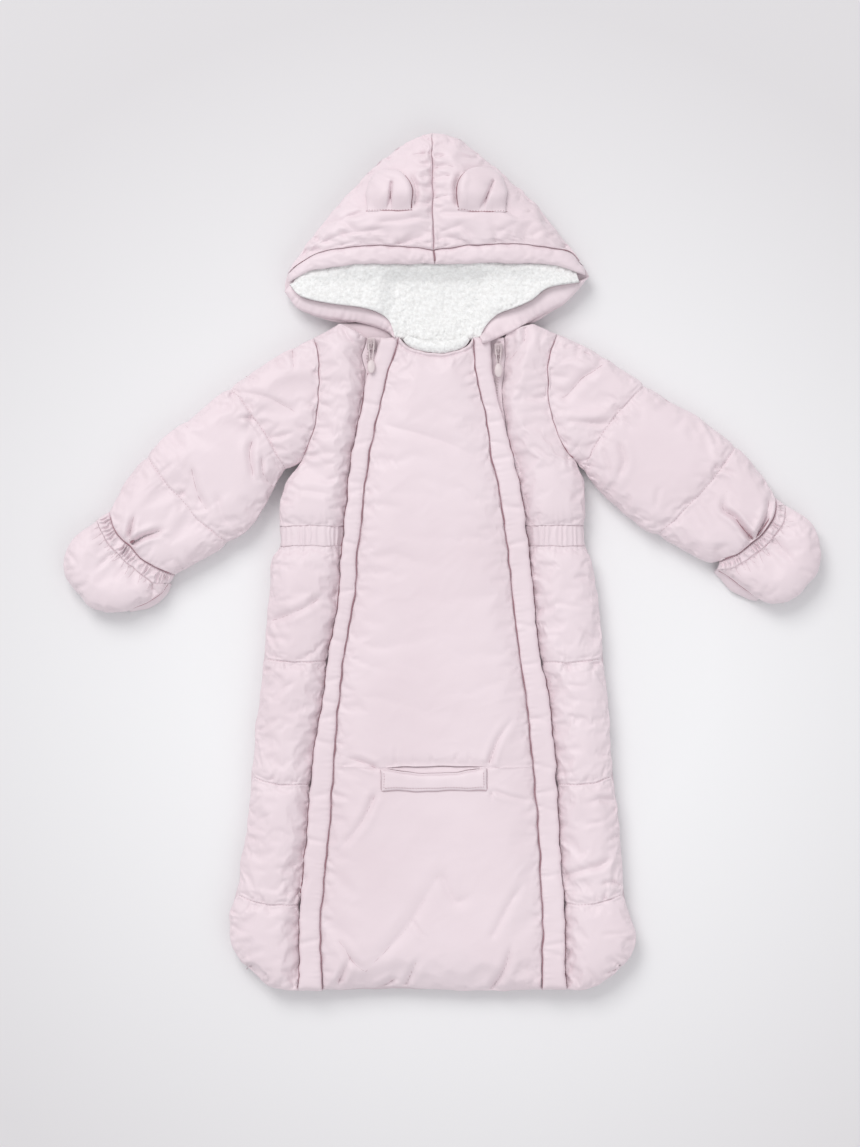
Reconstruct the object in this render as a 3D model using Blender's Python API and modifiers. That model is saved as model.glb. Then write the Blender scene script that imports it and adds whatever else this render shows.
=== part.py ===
"""Baby bunting bag, zipped and laid flat on its back.

Every table is in millimetres, seen from above: x to the viewer's right, y towards the tip of the
hood, z up from the surface it lies on. A piece of padded cloth is a closed wall: a plan grid
between its seams, with one height for its face and one for its inner side.
"""
import math

import bmesh
import bpy
import numpy as np
from mathutils import Matrix, Vector
from mathutils.bvhtree import BVHTree

for old in list(bpy.data.objects):
    bpy.data.objects.remove(old)

MM = 0.001

# Driving sizes, in millimetres
SEAM_GAP = 0.3          # between pieces that are sewn to each other
REST_GAP = 0.5          # between a piece and what it lies on
BACK_TOP = 14.0         # padded back wall, from the surface up
FRONT_UNDER = 14.3      # front wall's inner side at the seams
HOLLOW = 2.6            # what the front wall stands off the back inside the bag
EDGE_TOP = 17.0         # face of the front wall where it meets the back wall
LIFT = 7.0              # rise of the front wall's seams from the side seam inwards
LIFT_REACH = 45.0
PUFF = 9.0              # padding between two seams
ROUND_UNDER = 14.0      # width of the rounded edge under the side seams
EDGE_UNDER = 10.0       # its height at the seam

WAIST_TOP = 44.0
WAIST_FOOT = 25.0
NECK = 230.5            # seam of hood and back
HEM_CORNER = -369.0     # where a side seam turns into the hem
FOOT = -384.0

BODY_SIDES = (
    # y, left edge x, right edge x
    (103, -120, 133),
    (82, -135, 140),
    (57, -141, 141),
    (43, -141, 139),
    (26, -140, 140),
    (14, -147, 146),
    (-8, -149, 150),
    (-40, -152, 155),
    (-78, -155, 158),
    (-117, -159, 162),
    (-159, -164, 165),
    (-194, -167, 168),
    (-227, -169, 172),
    (-268, -176, 175),
    (-294, -180, 177),
    (-318, -187, 183),
    (-335, -186, 188),
    (-350, -180, 184),
    (-369, -163, 169),
)

FRONT_LINES = (
    # y, left guard outer x, left guard inner x, right guard inner x, right guard outer x
    (226, -45, -28, 36, 54),
    (212, -49, -31, 38, 55),
    (183, -58, -41, 41, 57),
    (145, -65, -50, 49, 65),
    (107, -73, -58, 55, 74),
    (68, -77, -63, 63, 82),
    (20, -82, -68, 70, 88),
    (-18, -84, -71, 74, 92),
    (-67, -93, -79, 80, 97),
    (-119, -100, -86, 87, 107),
    (-159, -107, -89, 91, 111),
    (-190, -110, -91, 94, 113),
    (-227, -113, -94, 97, 115),
    (-282, -118, -99, 100, 119),
    (-323, -121, -103, 102, 121),
    (-384, -121, -101, 102, 122),
)

ZIP_VALLEY = (
    # y, width of the zip that shows beside the left guard, beside the right guard
    (226, 12, 12),
    (203, 11.5, 12),
    (185, 4, 9.5),
    (158, 0.8, 3),
    (130, 0.8, 0.8),
    (-384, 0.8, 0.8),
)

SHOULDER = {
    # side: neck end of the shoulder seam, armhole end
    "left": ((-86, 230), (-109, 216)),
    "right": ((93, 230), (115, 221)),
}

ARMHOLE = {
    "left": ((-109, 216), (-104, 200), (-104, 178), (-105, 150), (-110, 126), (-120, 103)),
    "right": ((115, 221), (107, 196), (106, 171), (110, 145), (119, 120), (133, 103)),
}

SLEEVE_TOP = {
    "left": ((-109, 216), (-137, 203), (-171, 182), (-189, 170), (-220, 145), (-237, 134),
             (-263, 108), (-282, 85), (-294, 64), (-298, 57)),
    "right": ((115, 221), (139, 210), (162, 197), (193, 176), (217, 160), (244, 145),
              (276, 121), (297, 100), (310, 82), (317, 70)),
}

SLEEVE_UNDER = {
    "left": ((-121, 102), (-136, 93), (-147, 76), (-157, 57), (-171, 39), (-190, 26),
             (-214, 11), (-237, -1)),
    "right": ((135, 101), (148, 82), (162, 68), (179, 53), (194, 41), (212, 33), (233, 20),
              (254, 10), (265, 12)),
}

SLEEVE_STATIONS = {
    # side: rows of share of the sleeve, share along its top edge, share along its under edge
    "left": ((0, 0, 0), (0.4, 0.36, 0.10), (0.75, 0.75, 0.64), (1, 1, 1)),
    "right": ((0, 0, 0), (0.4, 0.37, 0.06), (0.75, 0.76, 0.60), (1, 1, 1)),
}
SLEEVE_QUILTS = (0.4, 0.75)

CUFF_INNER = {
    "left": ((-298, 57), (-289, 37), (-277, 25), (-268, 14), (-255, 6), (-237, -1)),
    "right": ((317, 70), (314, 53), (305, 39), (295, 30), (282, 19), (265, 12)),
}

CUFF_OUTER = {
    "left": ((-309, 49), (-299, 30), (-286, 15), (-272, 3), (-258, -8), (-242, -9)),
    "right": ((325, 63), (323, 46), (311, 30), (297, 18), (281, 7), (262, 3)),
}

MITTEN_TOP = {
    "left": ((-309, 49), (-327, 35), (-337, 21), (-339, 9)),
    "right": ((325, 63), (345, 51), (355, 36), (359, 21)),
}

MITTEN_END = {
    "left": ((-339, 9), (-337, -4), (-327, -18), (-316, -30), (-300, -36)),
    "right": ((359, 21), (357, 5), (349, -8), (337, -20), (323, -27)),
}

MITTEN_UNDER = {
    "left": ((-242, -9), (-250, -19), (-268, -30), (-285, -35), (-300, -36)),
    "right": ((262, 3), (274, -4), (288, -15), (301, -24), (314, -28), (323, -27)),
}

QUILT_LINES = (
    # y at the zip, y at the side seam
    (-81, -78),
    (-194, -187),
    (-304, -295),
)

HOOD_FOLD = {
    # from the tip of the hood to the corner of its mouth
    "left": ((0, 406), (-24, 396), (-49, 377), (-74, 353), (-95, 329), (-116, 302), (-133, 276),
             (-136, 259)),
    "right": ((0, 406), (21, 401), (44, 385), (74, 359), (95, 340), (116, 314), (134, 291),
              (145, 274)),
}
HOOD_SHOULDER_SHARE = 0.16     # share of the fold that closes the tip

HOOD_FOOT = {
    # from the corner of the mouth to the shoulder seam
    "left": ((-136, 259), (-124, 245), (-104, 236), (-86, NECK)),
    "right": ((145, 274), (125, 251), (107, 239), (93, NECK)),
}

BRIM_SEAM = {
    "left": ((-133, 276), (-116, 288), (-93, 297), (-52, 300), (-23, 299), (2, 296)),
    "right": ((140, 283), (125, 296), (95, 300), (63, 302), (32, 300), (2, 296)),
}

BRIM_EDGE = {
    "left": ((-131, 268), (-119, 274), (-100, 279), (-73, 283), (-31, 283), (3, 283)),
    "right": ((141, 274), (122, 280), (106, 283), (74, 284), (32, 284), (3, 283)),
}

BAND_INNER = {
    "left": ((-130, 267), (-119, 256), (-95, 250), (-65, 246), (-48, 241), (-38, 233), (-33, 219)),
    "right": ((134, 269), (106, 264), (91, 253), (76, 246), (60, 240), (49, 230), (43, 219)),
}

BAND_OUTER = {
    "left": ((-136, 259), (-124, 245), (-103, 237), (-80, 232), (-60, 229), (-42, 223), (-33, 215)),
    "right": ((145, 274), (125, 251), (101, 238), (88, 231), (74, 223), (60, 216), (47, 211)),
}

NECKLINE = ((-30, 217), (-22, 209), (-10, 205), (7, 203), (20, 205), (31, 209), (38, 217))

EARS = {
    # side: base left x, base right x, base y, height, x of the pinch
    "left": (-60, -19, 333, 40, -39),
    "right": (24, 68, 333, 43, 46),
}

SLOT = {"left": -47, "right": 50, "y": -178, "lens": 8.0, "welt": 21.0, "facing": 6.0}
SLOT_CUT = (5, 60)      # z of the cut through the front wall

FOLDS = (
    # the largest folds of the face: depth, width, then the line
    (4.0, 11, ((8, -272), (-14, -310), (-40, -350), (-62, -366))),
    (3.5, 10, ((8, -272), (22, -300), (38, -290))),
    (3.5, 11, ((90, -279), (70, -312), (52, -336))),
    (3.5, 10, ((-52, -180), (-66, -230), (-94, -262))),
    (3.0, 10, ((52, -178), (61, -152), (78, -128))),
    (4.0, 10, ((-83, 230), (-78, 218), (-64, 206))),
    (4.0, 10, ((88, 228), (84, 216), (70, 204))),
    (3.0, 11, ((-149, -40), (-120, -28), (-92, -14))),
    (3.0, 11, ((-160, -144), (-148, -128), (-132, -116))),
    (3.5, 11, ((114, -278), (140, -272), (164, -258))),
    (5.0, 13, ((-285, 22), (-272, 52))),
    (5.0, 13, ((300, 30), (270, 58), (272, 77))),
    (5.0, 14, ((117, 163), (137, 178), (160, 194))),
    (4.0, 12, ((-163, 163), (-140, 155), (-118, 146))),
    (4.0, 12, ((-220, 95), (-208, 72), (-203, 51))),
    (4.0, 12, ((-163, 121), (-163, 100), (-161, 82))),
    (4.0, 12, ((178, 119), (173, 100), (172, 85))),
    (3.5, 12, ((-94, 322), (-108, 300), (-120, 288))),
    (3.5, 12, ((-104, 320), (-80, 308), (-66, 306))),
    (3.5, 12, ((82, 322), (104, 312), (118, 302))),
)

CLOTH = (0.85, 0.76, 0.79, 1)
TRIM = (0.78, 0.68, 0.72, 1)
FLEECE = (0.93, 0.93, 0.93, 1)
METAL = (0.72, 0.70, 0.71, 1)
RUBBER = (0.80, 0.72, 0.75, 1)


# ---- curves and grids

def track(rows, column):
    """A smooth function of y through one column of a table whose first column is y."""
    table = np.array(sorted((row[0], row[column]) for row in rows), float)
    ys, values = table[:, 0], table[:, 1]
    steps = np.diff(values) / np.diff(ys)
    turning = steps[:-1] * steps[1:] <= 0
    mean = 2 * steps[:-1] * steps[1:] / np.where(turning, 1, steps[:-1] + steps[1:])
    slopes = np.concatenate([steps[:1], np.where(turning, 0, mean), steps[-1:]])

    def at(y):
        y = np.clip(y, ys[0], ys[-1])
        k = np.clip(np.searchsorted(ys, y) - 1, 0, len(ys) - 2)
        span = ys[k + 1] - ys[k]
        t = (y - ys[k]) / span
        return ((2 * t ** 3 - 3 * t ** 2 + 1) * values[k] + (t ** 3 - 2 * t ** 2 + t) * span * slopes[k]
                + (3 * t ** 2 - 2 * t ** 3) * values[k + 1] + (t ** 3 - t ** 2) * span * slopes[k + 1])

    return at


def spline(points, steps=12):
    """A smooth line through a few points."""
    points = np.array(points, float)
    if len(points) < 3:
        return points
    ends = np.vstack([2 * points[0] - points[1], points, 2 * points[-1] - points[-2]])
    line = []
    for p, q, r, s in zip(ends, ends[1:], ends[2:], ends[3:]):
        for t in np.arange(steps) / steps:
            line.append(0.5 * (2 * q + (r - p) * t + (2 * p - 5 * q + 4 * r - s) * t ** 2
                               + (3 * q - p - 3 * r + s) * t ** 3))
    return np.vstack([line, points[-1]])


def run_of(line):
    """Distance run along a line, from 0 to 1, at each of its points."""
    steps = np.linalg.norm(np.diff(line, axis=0), axis=1)
    run = np.concatenate([[0], np.cumsum(steps)])
    return run / run[-1]


def spaced(line, shares):
    """The points at the given shares of a line's length."""
    run = run_of(line)
    return np.column_stack([np.interp(shares, run, line[:, axis]) for axis in range(line.shape[1])])


def closer_at_ends(count):
    return (1 - np.cos(np.pi * np.arange(count + 1) / count)) / 2


def patch(head, foot, left, right):
    """A grid between four edges: rows run from head to foot, columns from left to right."""
    u = ((run_of(head) + run_of(foot)) / 2)[None, :, None]
    v = ((run_of(left) + run_of(right)) / 2)[:, None, None]
    across = (1 - u) * left[:, None] + u * right[:, None]
    down = (1 - v) * head[None] + v * foot[None]
    corners = (1 - v) * ((1 - u) * head[0] + u * head[-1]) + v * ((1 - u) * foot[0] + u * foot[-1])
    return across + down - corners


def away(points, line):
    """Distance of each point of a grid from a line."""
    flat = points.reshape(-1, 1, 2)
    start, step = line[:-1][None], np.diff(line, axis=0)[None]
    share = ((flat - start) * step).sum(2) / np.maximum((step ** 2).sum(2), 1e-9)
    nearest = start + np.clip(share, 0, 1)[..., None] * step
    return np.linalg.norm(flat - nearest, axis=2).min(1).reshape(points.shape[:-1])


def rim(plan):
    """The closed outline of a grid."""
    return np.vstack([plan[0], plan[1:, -1], plan[-1, -2::-1], plan[-2::-1, 0]])


def rise(distance, reach):
    """A quarter round: 0 at a seam, 1 from its reach inwards."""
    return np.sqrt(1 - (1 - np.clip(distance / reach, 0, 1)) ** 2)


def trough(distance, width):
    return np.exp(-(2 * distance / width) ** 2)


def inset(plan, gap=SEAM_GAP / 2 + 0.03):
    """The grid with its outline drawn in, which leaves the gap of a seam."""
    drawn = plan.copy()
    for edge, inner in ((np.s_[0], np.s_[1]), (np.s_[-1], np.s_[-2]),
                        (np.s_[:, 0], np.s_[:, 1]), (np.s_[:, -1], np.s_[:, -2])):
        step = plan[inner] - plan[edge]
        drawn[edge] += gap * step / np.linalg.norm(step, axis=-1, keepdims=True)
    return drawn


# ---- objects

collection = bpy.data.collections.new("baby_bunting_bag")
cutters = bpy.data.collections.new("cutters")
bpy.context.scene.collection.children.link(collection)
bpy.context.scene.collection.children.link(cutters)
materials = {}
trees = {}


def paint(name, colour, roughness, metallic=0.0):
    if name not in materials:
        material = bpy.data.materials.new(name)
        material.use_nodes = True
        shader = material.node_tree.nodes["Principled BSDF"]
        shader.inputs["Base Color"].default_value = colour
        shader.inputs["Roughness"].default_value = roughness
        shader.inputs["Metallic"].default_value = metallic
        materials[name] = material
    return materials[name]


def add_mesh(name, points, faces, material):
    """A closed piece from points in millimetres."""
    shape = bmesh.new()
    verts = [shape.verts.new(Vector(point) * MM) for point in points]
    for face in faces:
        shape.faces.new([verts[k] for k in face])
    bmesh.ops.recalc_face_normals(shape, faces=shape.faces)
    mesh = bpy.data.meshes.new(name)
    shape.to_mesh(mesh)
    shape.free()
    mesh.materials.append(material)
    mesh.shade_smooth()
    piece = bpy.data.objects.new(name, mesh)
    collection.objects.link(piece)
    trees[name] = BVHTree.FromPolygons([tuple(point) for point in points], faces)
    return piece


def grid_faces(first, rows, columns):
    index = first + np.arange(rows * columns).reshape(rows, columns)
    return [tuple(quad) for quad in np.stack([index[:-1, :-1], index[:-1, 1:], index[1:, 1:],
                                              index[1:, :-1]], axis=-1).reshape(-1, 4)]


def slab(name, plan, face, under, material):
    """A padded wall over a plan grid, closed along its outline."""
    rows, columns = plan.shape[:2]
    count = rows * columns
    face = np.maximum(face, under + 1.5)
    points = np.vstack([np.dstack([plan, face]).reshape(-1, 3), np.dstack([plan, under]).reshape(-1, 3)])
    faces = grid_faces(0, rows, columns) + grid_faces(count, rows, columns)
    index = np.arange(count).reshape(rows, columns, 1)
    loop = rim(index)[:-1, 0]
    following = np.roll(loop, -1)
    faces += [(a, b, b + count, a + count) for a, b in zip(loop, following)]
    return add_mesh(name, points, faces, material)


def ring(plan_row, face_row, under_row):
    """One section of a flat tube: over its face and back along its underside."""
    over = np.column_stack([plan_row, face_row])
    back = np.column_stack([plan_row, under_row])[::-1]
    return np.vstack([over, back])


def flat_tube(name, outer, inner, material, blind=False):
    """A flat tube from outer and inner sections, open at its first end or at both."""
    size = len(outer[0])
    points = np.vstack(outer + inner)
    first_inner = size * len(outer)
    faces = []
    for first, sections in ((0, outer), (first_inner, inner)):
        for row in range(len(sections) - 1):
            start = first + row * size
            for k in range(size):
                n = (k + 1) % size
                faces.append((start + k, start + n, start + size + n, start + size + k))
    last_outer, last_inner = first_inner - size, len(points) - size
    for k in range(size):
        n = (k + 1) % size
        faces.append((k, n, first_inner + n, first_inner + k))
        if not blind:
            faces.append((last_outer + k, last_outer + n, last_inner + n, last_inner + k))
    if blind:
        for last in (last_outer, last_inner):
            for k in range(size // 2 - 1):
                faces.append((last + k, last + k + 1, last + size - 2 - k, last + size - 1 - k))
    return add_mesh(name, points, faces, material)


def lies_on(plan, names, reach):
    """Height of the pieces under a grid, with the clearance of a piece that lies on them."""
    heights = np.zeros(plan.shape[:2])
    around = [(0, 0)] + [(reach * math.cos(a), reach * math.sin(a)) for a in np.arange(8) * math.pi / 4]
    for at in np.ndindex(heights.shape):
        x, y = plan[at]
        for dx, dy in around:
            for name in names:
                hit = trees[name].ray_cast(Vector((x + dx, y + dy, 200)), Vector((0, 0, -1)))[0]
                if hit:
                    heights[at] = max(heights[at], hit.z)
    return heights + REST_GAP


def evened(heights, rounds=4):
    """Heights smoothed along the rows, never lower than they were."""
    smooth = heights.copy()
    for _ in range(rounds):
        padded = np.vstack([smooth[:1], smooth, smooth[-1:]])
        smooth = np.maximum(heights, 0.25 * padded[:-2] + 0.5 * padded[1:-1] + 0.25 * padded[2:])
    return smooth


# ---- seam lines of the body

side_left, side_right = track(BODY_SIDES, 1), track(BODY_SIDES, 2)
guard_outer = {"left": track(FRONT_LINES, 1), "right": track(FRONT_LINES, 4)}
guard_inner = {"left": track(FRONT_LINES, 2), "right": track(FRONT_LINES, 3)}
valley = {"left": track(ZIP_VALLEY, 1), "right": track(ZIP_VALLEY, 2)}
body_side = {"left": side_left, "right": side_right}
OUTWARD = {"left": -1, "right": 1}
SIDES = ("left", "right")

SHARES = (0, 0.08, 0.36, 0.64, 0.92)      # rows between two quilting lines
ARMHOLE_ROWS = closer_at_ends(6)
UPPER_ROWS = (0, 0.35, 0.7)                     # rows from the underarm to the waist


def between(start, end, shares=SHARES):
    return [start + (end - start) * share for share in shares]


def lower_rows(side_seam):
    """y of each row from the waist to the hem, at the zip or at the side seam."""
    column = 1 if side_seam else 0
    last = HEM_CORNER if side_seam else FOOT
    stops = [WAIST_FOOT] + [line[column] for line in QUILT_LINES] + [last]
    rows = [y for start, end in zip(stops, stops[1:]) for y in between(start, end)]
    return np.array(rows + [last])


ZIP_TOP = 217.0
UNDERARM = 103.0
zip_upper = np.concatenate([ZIP_TOP + (UNDERARM - ZIP_TOP) * ARMHOLE_ROWS[:-1],
                            between(UNDERARM, WAIST_TOP, UPPER_ROWS), [WAIST_TOP]])
zip_waist = np.linspace(WAIST_TOP, WAIST_FOOT, 3)
zip_lower = lower_rows(False)
side_lower = lower_rows(True)


def zip_edge(side, rows):
    """Edge of the side front beside the zip."""
    return np.column_stack([guard_outer[side](rows) + OUTWARD[side] * valley[side](rows), rows])


def seam_line(side, rows):
    return np.column_stack([body_side[side](rows), rows])


def hem(side):
    """From the corner of the side seam to the middle of the hem."""
    corner = (body_side[side](HEM_CORNER), HEM_CORNER)
    out = OUTWARD[side]
    return spline((corner, (out * 149, -380), (out * 127, FOOT), (out * 60, FOOT + 1), (0, FOOT)))


def body_edge():
    """The seams that join front and back: shoulders, sides and hem."""
    lines = []
    for side in SIDES:
        rows = np.linspace(UNDERARM, HEM_CORNER, 60)
        lines.append(np.vstack([seam_line(side, rows), hem(side)]))
        lines.append(np.array(SHOULDER[side], float))
    return lines


BODY_EDGE = body_edge()


def from_edge(plan):
    return np.min([away(plan, line) for line in BODY_EDGE], axis=0)


def folded(plan):
    """Depth of the largest folds."""
    depth = np.zeros(plan.shape[:2])
    for deep, width, line in FOLDS:
        depth += deep * trough(away(plan, spline(line)), width)
    return depth


def front_ground(plan):
    """Height of the front's seams."""
    return EDGE_TOP + LIFT * rise(from_edge(plan), LIFT_REACH)


def front_under(plan):
    return FRONT_UNDER + HOLLOW * rise(from_edge(plan), 12)


def front_face(plan, puff, reach):
    return front_ground(plan) + puff * rise(away(plan, rim(plan)), reach) - folded(plan)


# ---- the bag

BACK_HEAD = (0, 0.08, 0.13, 0.25, 0.38, 0.5, 0.62, 0.75, 0.87, 0.92, 1)
NECK_ENDS = (2, 8)      # columns of the back that end at the neck's two corners


def make_back(cloth):
    shares = closer_at_ends(len(BACK_HEAD) - 1)
    edges = []
    for side in SIDES:
        rows = np.concatenate([zip_upper[len(ARMHOLE_ROWS):], zip_waist[1:], side_lower[1::2]])
        edges.append(np.vstack([spaced(spline(ARMHOLE[side]), ARMHOLE_ROWS), seam_line(side, rows)]))
    neck = np.array((SHOULDER["left"][::-1] + SHOULDER["right"]), float)
    foot = np.vstack([hem("left"), hem("right")[-2::-1]])
    head = spaced(neck, BACK_HEAD)
    for column, corner in zip(NECK_ENDS, neck[1:3]):
        head[column] = corner
    plan = patch(head, spaced(foot, shares), edges[0], edges[1])
    under = EDGE_UNDER * (1 - rise(from_edge(plan), ROUND_UNDER))
    face = np.full(plan.shape[:2], BACK_TOP)
    slab("back", plan, face, under, cloth)


def make_front_upper(side, cloth):
    out = OUTWARD[side]
    armhole = spaced(spline(ARMHOLE[side]), ARMHOLE_ROWS)
    outer = np.vstack([armhole, seam_line(side, zip_upper[len(ARMHOLE_ROWS):])])
    inner = zip_edge(side, zip_upper)
    neck_end, arm_end = (np.array(end, float) for end in SHOULDER[side])
    neck = spline((neck_end, (out * 72, 224), inner[0]))
    head = np.vstack([np.linspace(arm_end, neck_end, 3)[:-1], spaced(neck, np.linspace(0, 1, 5))])
    foot = np.linspace(outer[-1], inner[-1], 7)
    left, right = (outer, inner) if side == "left" else (inner, outer)
    if side == "right":
        head, foot = head[::-1], foot[::-1]
    plan = inset(patch(head, foot, left, right))
    slab(f"front_upper_{side}", plan, front_face(plan, PUFF, 20), front_under(plan), cloth)


GATHERS = 12            # gathers of one waist elastic
GATHER_DEPTH = 1.1


def make_waist(side, cloth):
    columns = 2 * GATHERS
    outer, inner = seam_line(side, zip_waist), zip_edge(side, zip_waist)
    left, right = (outer, inner) if side == "left" else (inner, outer)
    plan = inset(patch(np.linspace(left[0], right[0], columns + 1),
                       np.linspace(left[-1], right[-1], columns + 1), left, right))
    wave = np.cos(np.pi * np.arange(columns + 1))[None, :]
    depth = GATHER_DEPTH * rise(from_edge(plan), 10)
    face = front_ground(plan) - 1.5 + depth * wave
    slab(f"waist_elastic_{side}", plan, face, front_under(plan), cloth)


def make_front_lower(side, cloth):
    outer, inner = seam_line(side, side_lower), zip_edge(side, zip_lower)
    curve = hem(side)
    stop = np.argmin(np.abs(np.abs(curve[:, 0]) - abs(inner[-1, 0])))
    shares = (0, 0.1, 0.3, 0.5, 0.7, 0.9, 1)    # columns, closer at the two seams
    foot = spaced(np.vstack([curve[:stop], inner[-1]]), shares)
    head = spaced(np.array([outer[0], inner[0]]), shares)
    left, right = (outer, inner) if side == "left" else (inner, outer)
    if side == "right":
        head, foot = head[::-1], foot[::-1]
    plan = inset(patch(head, foot, left, right))
    quilted = np.zeros(plan.shape[:2])
    for k in range(len(QUILT_LINES)):
        row = (k + 1) * len(SHARES)
        quilted += trough(away(plan, plan[row]), 16)
    puff = PUFF * rise(away(plan, rim(plan)), 22) * (1 - 0.62 * np.minimum(quilted, 1))
    slab(f"front_lower_{side}", plan, front_ground(plan) + puff - folded(plan), front_under(plan), cloth)


def slot_lens():
    """Outline of the harness slot: a straight upper lip over a sagging lower one."""
    share = np.linspace(0, 1, 13)
    x = SLOT["left"] + (SLOT["right"] - SLOT["left"]) * share
    bulge = SLOT["lens"] * np.sin(np.pi * share)
    upper = np.column_stack([x, SLOT["y"] + 0.25 * bulge + 1])
    lower = np.column_stack([x, SLOT["y"] - 0.75 * bulge - 1])
    return upper, lower


def make_front_centre(cloth):
    rows = np.concatenate([zip_upper, zip_waist[1:], zip_lower[1:]])
    left = np.column_stack([guard_inner["left"](rows), rows])
    right = np.column_stack([guard_inner["right"](rows), rows])
    shares = closer_at_ends(6)
    neckline = spline((left[0],) + NECKLINE[1:-1] + (right[0],))
    foot = spline((left[-1], (-38, -381), (0, FOOT), (60, -384), right[-1]))
    plan = inset(patch(spaced(neckline, shares), spaced(foot, shares), left, right))
    body = slab("front_centre", plan, front_face(plan, PUFF, 34), front_under(plan), cloth)
    upper, lower = slot_lens()
    loop = np.vstack([upper, lower[::-1]])
    count = len(loop)
    points = [(x, y, z) for z in SLOT_CUT for x, y in loop]
    faces = [tuple(range(count)), tuple(range(count, 2 * count))]
    faces += [(k, (k + 1) % count, (k + 1) % count + count, k + count) for k in range(count)]
    cutter = add_mesh("slot_cutter", points, faces, cloth)
    collection.objects.unlink(cutter)
    cutters.objects.link(cutter)
    cutter.hide_render = True
    cutter.display_type = "WIRE"
    cut = body.modifiers.new("slot", "BOOLEAN")
    cut.operation = "DIFFERENCE"
    cut.solver = "EXACT"
    cut.object = cutter


def make_slot(cloth, trim):
    upper, lower = slot_lens()
    shares = np.linspace(0, 1, 9)
    high, low = spaced(upper, shares), spaced(lower, shares)
    ends = np.linspace(high[0], low[0], 3), np.linspace(high[-1], low[-1], 3)
    plan = inset(patch(high, low, ends[0], ends[1]), SEAM_GAP)
    face = lies_on(plan, ["front_centre"], 1) - SLOT["facing"]
    slab("slot_facing", plan, face, front_under(plan) + 0.2, cloth)
    top = spaced(lower, shares) - np.array([0, 0.6])
    foot = np.column_stack([top[:, 0], np.full(len(top), SLOT["y"] - SLOT["welt"])])
    sides = np.linspace(top[0], foot[0], 5), np.linspace(top[-1], foot[-1], 5)
    plan = patch(top, foot, sides[0], sides[1])
    under = evened(lies_on(plan, ["front_centre"], 5))
    slab("slot_welt", plan, under + 1.6 + 1.4 * rise(away(plan, rim(plan)), 5), under, trim)


# ---- zips and their guards

zip_rows = np.concatenate([zip_upper, zip_waist[1:], zip_lower[1:]])
ZIP_UNDER = 17.4
TAPE = 1.6
COIL = 2.0
COIL_WIDTH = 4.0
COIL_INSIDE = 6.0       # coil's middle to the side front's edge
GUARD_THICK = 7.5
GUARD_EDGE = 3.5        # thickness at its two long edges
GUARD_STEP = (0.6, 0.5, 9.0)    # free edge drawn in: mean, swing, length of one step


def make_zip(side, trim):
    out = OUTWARD[side]
    rows = zip_rows
    inner = guard_inner[side](rows)
    outer = zip_edge(side, rows)[:, 0]
    coil = outer - out * COIL_INSIDE
    columns = np.column_stack([inner, coil - out * COIL_WIDTH / 2, coil, coil + out * COIL_WIDTH / 2, outer])
    plan = inset(np.dstack([columns, np.repeat(rows[:, None], 5, 1)]))
    under = np.minimum(ZIP_UNDER, FRONT_UNDER + 4 * rise(from_edge(plan), 16))
    face = under + TAPE + COIL * np.array([0, 0, 1, 0, 0])[None, :]
    slab(f"zip_{side}", plan, face, under, trim)


def make_guard(side, cloth):
    rows = zip_rows
    inner, outer = guard_inner[side](rows), guard_outer[side](rows)
    shares = np.array([0, 0.15, 0.5, 0.85, 1])
    mean, swing, length = GUARD_STEP
    step = -OUTWARD[side] * (mean - swing * np.sin(rows / length))
    across = inner[:, None] + (outer + step - inner)[:, None] * shares[None, :]
    plan = inset(np.dstack([across, np.repeat(rows[:, None], 5, 1)]))
    probes = plan[:, :1] + (plan[:, -1:] - plan[:, :1]) * np.linspace(0, 1, 12)[None, :, None]
    under = np.repeat(evened(lies_on(probes, [f"zip_{side}"], 1.5).max(1, keepdims=True)), 5, 1)
    thick = GUARD_EDGE + (GUARD_THICK - GUARD_EDGE) * rise(away(plan, rim(plan)), 8)
    lower = 1 - 0.35 * (1 - rise(from_edge(plan), 20))
    slab(f"guard_{side}", plan, under + thick * lower, under, cloth)


# ---- sleeves and mittens

CUFF_SHARES = 0.5 * closer_at_ends(6) + 0.5 * np.linspace(0, 1, 7)
CUFF_COLUMNS = 4        # two gathers between two points of the sleeve's end
CUFF_DEPTH = 1.3


def sleeve_rows():
    """Rows along a sleeve, closer beside its quilting lines."""
    stops = (0,) + SLEEVE_QUILTS + (1,)
    rows = [s for start, end in zip(stops, stops[1:]) for s in between(start, end, (0, 0.14, 0.5, 0.86))]
    return np.array(rows + [1.0])


def wall_inset(plan, wall):
    """The plan of the hollow inside a flat tube, its two long edges drawn in by the wall."""
    rows = []
    for row in plan:
        share = wall / np.linalg.norm(np.diff(row, axis=0), axis=1).sum()
        rows.append(spaced(row, share + (1 - 2 * share) * run_of(row)))
    return np.array(rows)


def tube_sections(plan, face, under, wall, slit_low, slit_high):
    hollow = wall_inset(plan, wall)
    count = plan.shape[1]
    outer = [ring(plan[k], face[k], under[k]) for k in range(len(plan))]
    inner = [ring(hollow[k], np.full(count, slit_high), np.full(count, slit_low)) for k in range(len(plan))]
    return outer, inner


def long_edges(plan):
    return [plan[:, 0], plan[:, -1]]


def from_long_edges(plan):
    return np.min([away(plan, line) for line in long_edges(plan)], axis=0)


TUBE_GAP = 0.6
SLIT_LOW = 12.9
SLIT_HIGH = 15.7


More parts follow.
